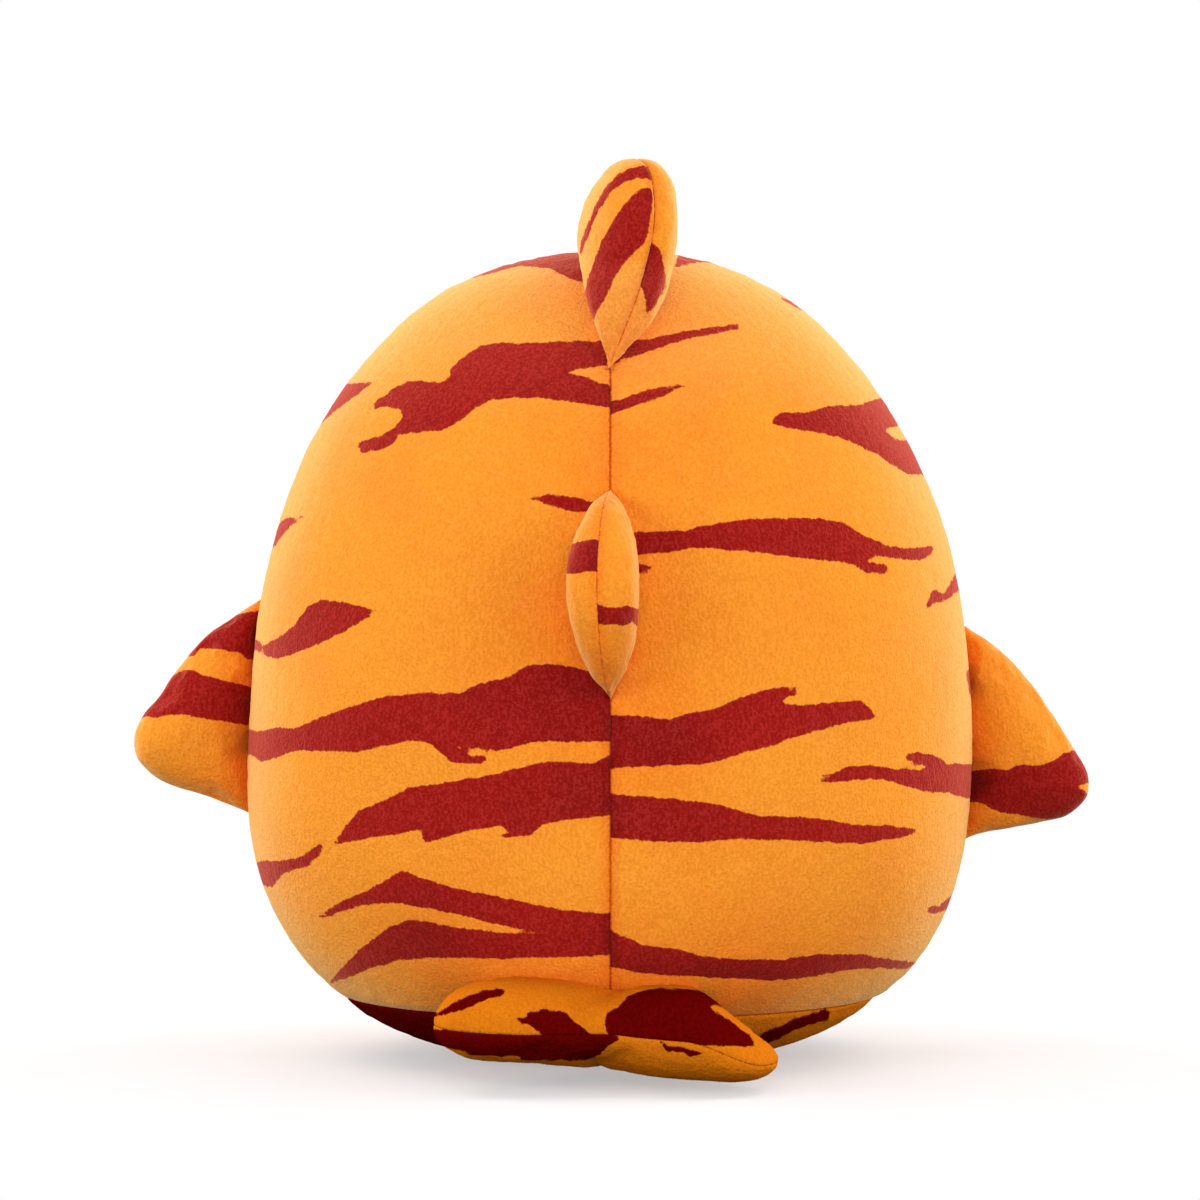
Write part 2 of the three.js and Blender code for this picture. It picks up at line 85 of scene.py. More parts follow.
# Outlines of the dark stripes, in pixels of the photograph
LEFT_STRIPES = (
    (
        (628, 338), (600, 340), (560, 342), (520, 344), (500, 343), (480, 346), (460, 360), (450, 370),
        (452, 378), (440, 383), (420, 381), (408, 380), (390, 390), (368, 408), (385, 405), (400, 408),
        (403, 417), (395, 428), (380, 437), (362, 441), (356, 446), (362, 452), (380, 449), (392, 444),
        (400, 433), (420, 432), (440, 430), (460, 420), (472, 409), (490, 400), (510, 397), (540, 397),
        (580, 402), (628, 408), (628, 386), (600, 383), (580, 376), (562, 370), (580, 367), (628, 362),
    ),
    ((305, 440), (318, 412), (335, 388), (350, 384), (371, 382), (345, 402), (332, 412), (320, 424)),
    ((265, 548), (272, 532), (285, 518), (304, 517), (288, 526), (279, 538), (272, 548)),
    (
        (529, 497), (550, 495), (575, 498), (600, 503), (625, 505), (625, 512), (600, 509), (575, 511),
        (545, 503),
    ),
    (
        (250, 640), (256, 640), (262, 647), (275, 640), (295, 625), (305, 608), (320, 600), (345, 603),
        (378, 612), (365, 617), (345, 630), (320, 642), (300, 650), (277, 658), (265, 655), (250, 648),
    ),
    (
        (236, 728), (260, 732), (275, 728), (295, 729), (320, 718), (350, 708), (380, 698), (430, 693),
        (460, 694), (480, 684), (510, 678), (520, 670), (535, 665), (560, 665), (590, 672), (612, 690),
        (630, 702), (630, 741), (540, 741), (522, 744), (505, 749), (494, 750), (488, 748), (463, 747),
        (454, 744), (463, 752), (471, 756), (489, 756), (485, 761), (480, 763), (451, 762), (446, 756),
        (440, 752), (432, 744), (424, 741), (410, 740), (380, 746), (360, 751), (295, 750), (280, 756),
        (262, 761), (245, 752), (236, 750),
    ),
    (
        (630, 754), (612, 755), (592, 764), (550, 762), (520, 768), (480, 778), (440, 784), (410, 788),
        (390, 798), (358, 812), (345, 828), (333, 844), (370, 837), (400, 833), (420, 828), (424, 842),
        (440, 838), (470, 830), (500, 825), (512, 828), (498, 838), (530, 835), (540, 825), (560, 820),
        (612, 815), (630, 815),
    ),
    (
        (250, 866), (262, 861), (285, 861), (303, 857), (322, 843), (321, 852), (308, 865), (285, 872),
        (273, 886), (263, 884), (252, 878),
    ),
    (
        (317, 918), (340, 903), (370, 890), (402, 871), (420, 878), (450, 888), (500, 898), (560, 910),
        (608, 915), (630, 917), (630, 955), (560, 957), (500, 958), (430, 957), (400, 960), (370, 968),
        (345, 978), (330, 983), (345, 965), (360, 950), (390, 928), (410, 920), (430, 923), (460, 928),
        (500, 933), (552, 934), (530, 930), (490, 922), (460, 914), (430, 908), (395, 902), (360, 905),
        (330, 915),
    ),
    (
        (474, 278), (500, 260), (530, 248), (578, 240), (590, 242), (590, 282), (570, 277), (550, 267),
        (520, 265), (500, 271),
    ),
)
RIGHT_STRIPES = (
    (
        (604, 342), (650, 338), (690, 330), (737, 325), (738, 329), (715, 333), (690, 337), (665, 344),
        (650, 350), (630, 356), (604, 364),
    ),
    (
        (600, 402), (620, 399), (640, 393), (662, 387), (686, 384), (664, 395), (645, 401), (617, 411),
        (600, 413),
    ),
    (
        (771, 421), (780, 414), (810, 413), (830, 406), (860, 405), (880, 398), (905, 392), (915, 425),
        (900, 424), (885, 428), (898, 440), (930, 440), (945, 478), (922, 474), (907, 473), (895, 465),
        (880, 455), (860, 445), (840, 436), (810, 431), (775, 425),
    ),
    (
        (604, 533), (638, 533), (690, 531), (700, 527), (740, 521), (770, 519), (820, 519), (845, 524),
        (860, 535), (880, 543), (890, 548), (915, 549), (931, 546), (932, 553), (920, 560), (890, 558),
        (875, 554), (862, 559), (870, 563), (885, 565), (890, 570), (885, 573), (865, 572), (855, 565),
        (840, 561), (800, 557), (750, 551), (700, 547), (638, 555), (604, 557),
    ),
    ((620, 566), (640, 565), (656, 568), (656, 571), (640, 573), (620, 573)),
    (
        (926, 609), (930, 598), (934, 590), (945, 595), (957, 570), (968, 560), (972, 580), (955, 592),
        (945, 601), (935, 602),
    ),
    (
        (596, 715), (640, 717), (670, 720), (685, 715), (720, 708), (740, 698), (770, 689), (795, 688),
        (799, 693), (780, 698), (785, 704), (800, 706), (830, 703), (860, 701), (870, 710), (876, 719),
        (850, 721), (810, 732), (790, 738), (770, 746), (750, 750), (710, 763), (680, 764), (613, 768),
        (596, 768),
    ),
    (
        (596, 795), (612, 795), (660, 799), (700, 802), (720, 806), (760, 817), (800, 817), (830, 821),
        (860, 826), (890, 826), (920, 831), (900, 837), (860, 843), (800, 840), (740, 838), (700, 842),
        (660, 841), (612, 838), (596, 838),
    ),
    (
        (808, 779), (830, 775), (850, 767), (870, 766), (890, 769), (920, 771), (930, 768), (922, 764),
        (908, 761), (907, 755), (920, 753), (938, 757), (947, 765), (955, 764), (985, 766), (985, 800),
        (965, 797), (950, 792), (925, 791), (905, 785), (890, 780), (870, 778), (830, 782),
    ),
    ((926, 911), (930, 906), (940, 907), (951, 897), (962, 890), (962, 902), (945, 910), (935, 913)),
    (
        (592, 933), (610, 933), (640, 945), (680, 950), (700, 956), (740, 960), (780, 960), (820, 955),
        (860, 955), (880, 959), (914, 962), (905, 968), (880, 967), (850, 969), (800, 978), (770, 980),
        (740, 978), (650, 973), (610, 968), (592, 968),
    ),
    ((780, 300), (795, 303), (805, 312), (795, 308)),
    ((676, 266), (680, 250), (705, 252), (720, 264), (704, 262)),
    ((967, 672), (971, 668), (976, 690), (977, 703), (973, 700), (969, 688)),
)
BASE_STRIPES = (
    ((300, 960), (430, 1000), (452, 1010), (452, 1080), (300, 1080)),
    ((752, 1038), (775, 1027), (800, 1019), (830, 1012), (828, 1018), (797, 1026), (765, 1042)),
)
DORSAL_LEFT_STRIPES = (
    (
        (654, 169), (650, 164), (644, 164), (637, 166), (629, 170), (620, 174), (613, 181), (606, 188),
        (601, 196), (594, 209), (589, 222), (584, 234), (580, 250), (580, 255), (584, 244), (589, 231),
        (594, 218), (600, 207), (605, 200), (610, 193), (616, 187), (624, 182), (632, 179), (640, 177),
        (646, 176), (653, 178),
    ),
    (
        (653, 188), (646, 188), (640, 190), (632, 197), (624, 207), (616, 218), (608, 230), (600, 246),
        (594, 263), (588, 281), (585, 297), (586, 310), (588, 321), (591, 328), (596, 311), (602, 302),
        (608, 290), (614, 278), (621, 266), (629, 257), (635, 250), (642, 246), (647, 234), (652, 201),
    ),
)
DORSAL_RIGHT_STRIPES = (
    (
        (636, 246), (649, 244), (656, 245), (661, 252), (663, 263), (665, 276), (664, 286), (660, 295),
        (654, 306), (648, 313), (647, 306), (646, 295), (642, 286), (637, 282), (624, 281), (630, 264),
    ),
)
REAR_DORSAL_LEFT_STRIPES = (
    (
        (560, 546), (580, 542), (587, 540), (595, 540), (606, 541), (606, 568), (596, 570), (582, 571),
        (560, 573),
    ),
)
REAR_DORSAL_RIGHT_STRIPES = (
    (
        (594, 604), (605, 608), (620, 608), (627, 607), (645, 611), (645, 629), (633, 622), (623, 625),
        (613, 624), (594, 623),
    ),
)
PECTORAL_LEFT_STRIPES = (
    (
        (265, 611), (250, 612), (238, 615), (225, 612), (205, 628), (186, 654), (192, 655), (200, 647),
        (210, 648), (222, 649), (240, 652), (250, 659), (265, 661),
    ),
    (
        (165, 680), (178, 672), (187, 670), (194, 671), (203, 676), (221, 680), (232, 683), (247, 687),
        (265, 688), (265, 727), (245, 724), (219, 720), (200, 717), (184, 714), (170, 714), (160, 717),
        (135, 717), (150, 695),
    ),
)
PECTORAL_RIGHT_STRIPES = (
    (
        (955, 774), (971, 772), (980, 770), (1008, 770), (1020, 765), (1037, 766), (1047, 764),
        (1057, 760), (1063, 754), (1085, 748), (1097, 780), (1081, 784), (1067, 787), (1083, 791),
        (1092, 800), (1072, 815), (1053, 818), (1037, 817), (1020, 814), (1005, 812), (993, 809),
        (983, 803), (955, 798),
    ),
)
TAIL_UPPER_STRIPES = (
    (
        (432, 1016), (453, 1003), (466, 997), (481, 992), (496, 990), (504, 991), (502, 995), (488, 998),
        (471, 1006), (455, 1011),
    ),
    (
        (518, 1019), (526, 1018), (529, 1013), (539, 1012), (544, 1008), (552, 1012), (562, 1011),
        (569, 1014), (572, 1019), (582, 1028), (600, 1042), (562, 1040), (542, 1034), (529, 1023),
        (520, 1023),
    ),
    (
        (606, 1018), (607, 1014), (618, 1008), (623, 1002), (630, 995), (643, 991), (661, 989),
        (684, 990), (699, 991), (714, 997), (722, 1003), (706, 1006), (716, 1013), (728, 1020),
        (740, 1029), (749, 1037), (754, 1045), (613, 1045), (607, 1031),
    ),
    ((712, 1003), (722, 1002), (745, 1014), (768, 1036), (764, 1040), (748, 1022), (733, 1011)),
)
TAIL_LOWER_STRIPES = (
    (
        (425, 1030), (610, 1030), (618, 1040), (607, 1046), (600, 1054), (587, 1059), (521, 1060),
        (521, 1056), (496, 1056), (473, 1054), (458, 1049), (425, 1040),
    ),
    (
        (661, 1042), (667, 1047), (684, 1047), (689, 1050), (704, 1054), (687, 1057), (684, 1052),
        (668, 1051),
    ),
)
# The front is out of the photograph's sight; its right half is drawn here and repeated on the left
FRONT_STRIPES = (
    (
        (590, 254), (604, 245), (622, 239), (646, 236), (668, 240), (688, 249), (704, 261), (708, 268),
        (694, 264), (672, 259), (646, 256), (622, 257), (604, 262),
    ),
    (
        (596, 298), (610, 288), (628, 282), (648, 281), (666, 287), (682, 298), (690, 308), (684, 311),
        (664, 304), (642, 300), (620, 301), (604, 304),
    ),
    (
        (1000, 556), (968, 550), (940, 553), (916, 560), (894, 570), (876, 582), (864, 592), (866, 600),
        (880, 596), (898, 588), (914, 586), (930, 589), (944, 585), (970, 588), (1000, 598),
    ),
    (
        (1000, 650), (965, 646), (944, 650), (928, 657), (912, 668), (906, 676), (912, 682), (930, 677),
        (946, 676), (962, 683), (1000, 694),
    ),
    (
        (1000, 776), (960, 770), (930, 773), (904, 780), (880, 790), (864, 800), (866, 807), (884, 805),
        (902, 800), (918, 803), (930, 800), (956, 806), (1000, 818),
    ),
    (
        (990, 876), (950, 871), (920, 874), (894, 881), (872, 892), (860, 901), (864, 908), (884, 903),
        (904, 900), (922, 905), (950, 904), (990, 912),
    ),
    (
        (960, 438), (920, 430), (886, 430), (856, 436), (832, 447), (816, 457), (818, 465), (836, 461),
        (858, 456), (878, 459), (896, 457), (925, 468), (965, 486),
    ),
    (
        (930, 356), (880, 344), (846, 338), (812, 339), (782, 346), (760, 356), (752, 364), (760, 370),
        (784, 362), (812, 360), (836, 366), (862, 372), (900, 386), (940, 404),
    ),
)
FRONT_LEFT_DROP = 22
FAR_FROM_STRIPE = 60


# Settings


def length_property(name, description, metres):
    return FloatProperty(name=name, description=description, default=metres, unit="LENGTH")


def angle_property(name, description, degrees):
    return FloatProperty(name=name, description=description, default=math.radians(degrees), subtype="ANGLE")


def power_property(name, description, watts):
    return FloatProperty(name=name, description=description, default=watts, unit="POWER")


def number_property(name, description, number):
    return FloatProperty(name=name, description=description, default=number)


def colour_property(name, description, *channels):
    return FloatVectorProperty(
        name=name, description=description, default=channels, subtype="COLOR", min=0, max=1
    )


class SharkBody(bpy.types.PropertyGroup):
    """Sizes of the stuffed body."""

    width: length_property("Width", "Side to side at the widest ring", 0.290)
    depth: length_property("Depth", "Front to back at the widest ring", 0.250)
    equator: length_property("Widest ring", "Floor to the widest ring", 0.120)
    crown_rise: length_property("Crown rise", "Widest ring to the crown", 0.202)
    pressed_flat: length_property("Pressed flat", "What the floor takes off the underside", 0.003)
    crown_roundness: number_property("Crown roundness", "Exponent of the upper outline, 2 in an ellipse", 2.2)
    underside_roundness: number_property("Underside roundness", "Exponent of the lower outline", 2.58)
    base_seam: length_property("Base seam", "Floor to the seam round the base", 0.023)
    side_seam_turn: angle_property("Side seam turn", "From the centre back round to each side seam", 95.5)
    belly_half_width: length_property("Belly half width", "Centre to the belly's seam", 0.084)
    belly_top: length_property("Belly top", "Widest ring to the top of the belly", 0.024)
    belly_roundness: number_property("Belly roundness", "Exponent of the belly's arch", 2.6)


class SharkCloth(bpy.types.PropertyGroup):
    """The plush: its seams, its folds, its padding and its colours."""

    thickness: length_property("Thickness", "Pile and backing", 0.0018)
    seam_depth: length_property("Seam depth", "How far a seam is pulled in", 0.0006)
    seam_width: length_property("Seam width", "Half width of the pulled-in groove", 0.0009)
    seam_cover: length_property("Fin seam cover", "Pile that hides the stitches of a fin's seam", 0.0003)
    pillow_depth: length_property("Pillow depth", "How far a cover rises beside its seam", 0.0011)
    pillow_reach: length_property("Pillow reach", "Seam to where a cover is full", 0.007)
    pucker: length_property("Pucker", "Height of the puckers along a seam", 0.0009)
    pucker_reach: length_property("Pucker reach", "How far the puckers run from a seam", 0.012)
    pucker_length: length_property("Pucker length", "From one pucker to the next", 0.007)
    gather: length_property("Gather", "Height of the folds at the ends of a dorsal fin", 0.0016)
    gather_reach: length_property("Gather reach", "How far those folds run", 0.010)
    gather_folds: number_property("Gather folds", "Folds round an end", 7.0)
    # Painted shade reaches this far round the fins' roots
    root_shade_reach: length_property("Rub reach", "How far the pile is rubbed round a fin's root", 0.032)
    rear_root_shade_reach: length_property("Rear rub reach", "The same at the second dorsal fin and the tail", 0.070)
    # Painted shade reaches this far round the tail's root
    tail_painted_shade_reach: length_property("Tail nap reach", "How far the tail lifts the pile round its root", 0.036)
    ripple: length_property("Ripple", "Height of the slow unevenness of the stuffing", 0.0012)
    ripple_length: length_property("Ripple length", "Width of the slow unevenness", 0.050)
    tuft: length_property("Tuft", "Height of the pile's tufts", 0.00022)
    tuft_length: length_property("Tuft length", "Width of the pile's tufts", 0.0032)
    pressure: number_property("Pressure", "Stuffing's push in the simulation", 10.0)
    fullness: number_property("Fullness", "Share by which a fin's cloth is larger than its shape", 0.02)
    corner_mass: FloatProperty(
        name="Corner mass", description="Mass of each simulated corner", default=0.02, unit="MASS"
    )
    orange: colour_property("Orange", "Ground colour", 0.91, 0.305, 0.022)
    # Deep orange: scuffed ground, and painted shade beside seams and round fin roots
    deep_orange: colour_property("Deep orange", "Ground where it is rubbed", 0.86, 0.215, 0.012)
    # Painted sheen: the ground where the pile is seen edge-on and below the crown
    orange_painted_sheen: colour_property("Orange bloom", "Ground seen along the pile", 1.0, 0.56, 0.17)
    # Painted shade: the ground on the tail, the base, round the tail's root and on some fins
    orange_painted_shade: colour_property("Orange nap", "Ground seen down into the pile", 0.66, 0.175, 0.006)
    red: colour_property("Red", "Stripe colour", 0.345, 0.0075, 0.0045)
    # Dark red: scuffed stripes, and painted shade beside seams and round fin roots
    dark_red: colour_property("Dark red", "Stripes where they are rubbed", 0.235, 0.0035, 0.0025)
    # Painted sheen: the stripes where the pile is seen edge-on and below the crown
    red_painted_sheen: colour_property("Red bloom", "Stripes seen along the pile", 0.60, 0.055, 0.034)
    # Painted shade: the stripes on the tail, the base, round the tail's root and on some fins
    red_painted_shade: colour_property("Red nap", "Stripes seen down into the pile", 0.11, 0.001, 0.001)
    # The seam's dark line: its joint, and painted shade in its groove
    seam_joint_and_shade: colour_property("Seam tint", "What the depth of a seam leaves of the dye", 0.68, 0.33, 0.05)
    cream: colour_property("Cream", "Belly colour", 0.90, 0.74, 0.50)


class SharkFins(bpy.types.PropertyGroup):
    """Thickness and set of the padded fins."""

    tuck: length_property("Root tuck", "How far a root lies under the skin", 0.0035)
    dorsal_thickness: length_property("Dorsal thickness", "First dorsal fin", 0.035)
    dorsal_rear_drop: length_property("Dorsal rear drop", "Crown down to the rear of the root", 0.042)
    dorsal_front_behind: length_property("Dorsal front", "Axis back to the front of the root", 0.010)
    dorsal_lean: angle_property("Dorsal lean", "To the right", 11)
    dorsal_twist: angle_property("Dorsal twist", "Its rear edge to the right at the top", 18)
    rear_dorsal_thickness: length_property("Rear dorsal thickness", "Second dorsal fin", 0.0285)
    rear_dorsal_low: length_property("Rear dorsal low", "Widest ring up to the root's lower end", 0.031)
    rear_dorsal_high: length_property("Rear dorsal high", "Widest ring up to the root's upper end", 0.112)
    rear_dorsal_lean: angle_property("Rear dorsal lean", "To the right", -8)
    pectoral_root: length_property("Pectoral root", "Length in the side seam", 0.084)
    pectoral_thickness: length_property("Pectoral thickness", "Pectoral fins", 0.028)
    left_pectoral_low: length_property("Left pectoral low", "Widest ring down to the root", 0.023)
    right_pectoral_low: length_property("Right pectoral low", "Widest ring down to the root", 0.0335)
    tail_root: length_property("Tail root", "Length in the base seam", 0.084)
    tail_thickness: length_property("Tail thickness", "Tail fin", 0.033)
    tail_notch: length_property("Tail notch", "Root out to the notch between the lobes", 0.047)
    tail_roll: angle_property("Tail roll", "The right lobe is lower", 2.5)
    tail_shift: length_property("Tail shift", "The tail lies this far to the left", 0.0017)
    tail_sag: length_property("Tail sag", "The end of the right lobe hangs down by this", 0.0085)
    tail_taper: number_property("Tail taper", "Share of its thickness that the right lobe's end lacks", 0.45)
    tail_slack: length_property("Tail slack", "How much less the left lobe hangs below", 0.0044)
    tail_pinch: length_property("Tail pinch", "How far the notch draws the covers in", 0.0025)


class SharkFace(bpy.types.PropertyGroup):
    """Embroidery and felt of the face."""

    thread: length_property("Thread height", "Height of the embroidery", 0.0012)
    stitch: length_property("Stitch pitch", "From one stitch to the next", 0.0008)
    ridge: length_property("Stitch ridge", "Height of a stitch over its neighbours", 0.00014)
    iris_width: length_property("Iris width", "Side to side", 0.019)
    iris_height: length_property("Iris height", "Top to bottom", 0.023)
    pupil_width: length_property("Pupil width", "Side to side", 0.009)
    pupil_height: length_property("Pupil height", "Top to bottom", 0.017)
    eye_apart: length_property("Eyes apart", "Between the eyes' centres", 0.104)
    eye_up: length_property("Eyes up", "Widest ring up to the eyes", 0.084)
    mouth_radius: length_property("Mouth radius", "Curve of the mouth", 0.084)
    mouth_half_angle: angle_property("Mouth half angle", "Centre to a corner", 40)
    mouth_up: length_property("Mouth up", "Widest ring up to the mouth's lowest point", 0.044)
    mouth_line: length_property("Mouth line", "Width of the stitched line", 0.004)
    teeth_half_angle: angle_property("Teeth half angle", "Centre to the last tooth", 32)
    tooth_strip: length_property("Tooth strip", "Felt above the notches", 0.003)
    tooth_drop: length_property("Tooth drop", "Length of a tooth", 0.011)
    tooth_felt: length_property("Tooth felt", "Thickness of the felt", 0.0010)
    gill_length: length_property("Gill length", "Length of a gill slit", 0.030)
    gill_line: length_property("Gill line", "Width of a gill slit", 0.0034)
    gill_bend: length_property("Gill bend", "Radius of a gill slit's curve", 0.034)
    gill_pitch: length_property("Gill pitch", "From one slit to the next", 0.011)
    gill_from_side: length_property("Gills from side", "Widest ring in to the first slit", 0.055)
    gill_up: length_property("Gills up", "Widest ring up to the slits", 0.026)
    amber: colour_property("Amber", "Iris thread", 0.80, 0.42, 0.02)
    black: colour_property("Black", "Pupil thread", 0.010, 0.008, 0.008)
    maroon: colour_property("Maroon", "Mouth and gill thread", 0.16, 0.012, 0.012)
    felt: colour_property("Felt", "Teeth", 0.90, 0.86, 0.78)


class SharkStage(bpy.types.PropertyGroup):
    """Lamps and sky."""

    key: power_property("Key lamps", "Each of two soft lamps above", 13.0)
    fill: power_property(
        "Fill lamps", "Each of four soft lamps at the sides; the two at the ends are dimmer", 23.0
    )
    sky: number_property("Sky", "Strength of the light from all round", 0.40)


class SharkSettings(bpy.types.PropertyGroup):
    """All of the shark's settings."""

    body: PointerProperty(type=SharkBody)
    cloth: PointerProperty(type=SharkCloth)
    fins: PointerProperty(type=SharkFins)
    face: PointerProperty(type=SharkFace)
    stage: PointerProperty(type=SharkStage)


def settings():
    return bpy.context.scene.shark


# Shader values


class Value:
    """A shader value; arithmetic on it adds Math nodes."""

    def __init__(self, net, socket):
        self.net = net
        self.socket = socket

    def maths(self, operation, *others):
        inputs = dict(enumerate((self, *others)))
        return self.net.add("ShaderNodeMath", {"operation": operation}, inputs)

    def __add__(self, other):
        return self.maths("ADD", other)

    __radd__ = __add__

    def __sub__(self, other):
        return self.maths("SUBTRACT", other)

    def __rsub__(self, other):
        return self.net.add("ShaderNodeMath", {"operation": "SUBTRACT"}, {0: other, 1: self})

    def __mul__(self, other):
        return self.maths("MULTIPLY", other)

    __rmul__ = __mul__

    def __abs__(self):
        return self.maths("ABSOLUTE")


def shares_of(shares, *values):
    """Sum of shader values, each times its share"""
    first, *rest = (value * share for share, value in zip(shares, values, strict=True))
    return sum(rest, first)


class Net:
    """The nodes of a material or of the world."""

    def __init__(self, owner):
        self.owner = owner
        owner.use_nodes = True
        self.tree = owner.node_tree
        self.tree.nodes.clear()

    def add(self, kind, given=None, inputs=None, output=0):
        node = self.tree.nodes.new(kind)
        for key, value in (given or {}).items():
            setattr(node, key, value)
        for key, value in (inputs or {}).items():
            if isinstance(value, Value):
                self.tree.links.new(value.socket, node.inputs[key])
            else:
                node.inputs[key].default_value = value
        return Value(self, node.outputs[output])

    def coordinates(self):
        return self.add("ShaderNodeTexCoord", output="Object")

    def height_of(self, vector):
        return self.add("ShaderNodeSeparateXYZ", inputs={0: vector}, output="Z")

    def noise(self, where, size, detail=2.0, roughness=0.5):
        inputs = {"Vector": where, "Scale": 1 / size, "Detail": detail, "Roughness": roughness}
        return self.add("ShaderNodeTexNoise", inputs=inputs)

    def attribute(self, name):
        return self.add("ShaderNodeAttribute", {"attribute_name": name}, output="Fac")

    def step(self, value, low, high):
        """0 below low, 1 above high and smooth between; low may be the larger"""
        given = {"interpolation_type": "SMOOTHSTEP"}
        return self.add("ShaderNodeMapRange", given, {"Value": value, "From Min": low, "From Max": high})

    def mix(self, factor, first, second, blend="MIX"):
        given = {"data_type": "RGBA", "blend_type": blend}
        colours = {6: self.colour(first), 7: self.colour(second)}
        return self.add("ShaderNodeMix", given, {0: factor, **colours}, output=2)

    @staticmethod
    def colour(value):
        return value if isinstance(value, Value) else (*value, 1.0)

    def bump(self, height, distance, strength):
        inputs = {"Height": height, "Distance": distance, "Strength": strength}
        return self.add("ShaderNodeBump", inputs=inputs)

    def finish(self, inputs):
        return self.show(self.add("ShaderNodeBsdfPrincipled", inputs=inputs))

    def show(self, shader, kind="ShaderNodeOutputMaterial"):
        node = self.tree.nodes.new(kind)
        self.tree.links.new(shader.socket, node.inputs["Surface"])
        return self.owner


def new_material(name):
    return Net(bpy.data.materials.new(name))


# What a noise texture gives on average
NOISE_MIDDLE = 0.5


class Pile:
    """Short pile: sizes of its pattern in metres, and the share that each part of the pattern has."""

    PEBBLE, RIB, TUFT = 0.0011, 0.0012, 0.0045
    PATCH, BROAD_PATCH = 0.030, 0.085
    RIB_STRETCH = (1.0, 1.0, 0.35)
    # Shares of pebbles, ribs and tufts in the pile's shade and in its relief
    SHADE, SHADE_RANGE = (0.60, 0.36, 0.04), (0.34, 0.66)
    RELIEF, RELIEF_HEIGHT, RELIEF_STRENGTH = (0.60, 0.30, 0.25), 0.0010, 0.8
    # Shares of patches, broad patches, tufts, flattened seams and fin roots in the deeper tone: the patches
    # and tufts are scuffed, the seams and roots get painted shade
    RUB, RUB_RANGE = (0.50, 0.50, 0.08, 0.30, 0.26), (0.46, 0.95)
    PRESSED_AND_SHADED_RANGE = (0.0060, 0.0)
    # Shares of the view along the pile, of a band below the crown and of patches in the painted sheen; the
    # band below the crown is painted light from above
    PAINTED_SHEEN = (0.65, 0.17, 0.16)
    ALONG_RANGE = (0.30, 1.0)
    CROWN_START, CROWN_END = (0.250, 0.292), (0.326, 0.312)
    UNEVEN_TUFTS, UNEVEN_MIDDLE = 0.3, 0.65
    # Ragged edges of the stripes, moved by rags and pebbles, and of the seams' dark line, which is their
    # joint with painted shade in the groove
    STRIPE_RAG, STRIPE_MOVES, STRIPE_RANGE = 0.0045, (0.0022, 0.0005), (0.0006, 0.0)
    SEAM_PEBBLES, SEAM_RANGE = 0.0008, (0.0008, 0.0001)
    # Light that the tips catch
    TIP, TIP_RANGE, TIP_SHARE = (1.0, 0.9, 0.8), (0.35, 1.0), 0.009
    # How much red, green and blue change between the tips and the depth of the pile
    GROUND_FLECKS, STRIPE_FLECKS = (0.13, 0.20, 0.42), (0.34, 0.60, 0.60)
    ROUGHNESS = 0.90
    SHEEN, SHEEN_ROUGHNESS, SHEEN_TINT = 0.18, 0.40, (1.0, 0.72, 0.45, 1.0)
    SHINE_FOR_SHEEN = 0.5


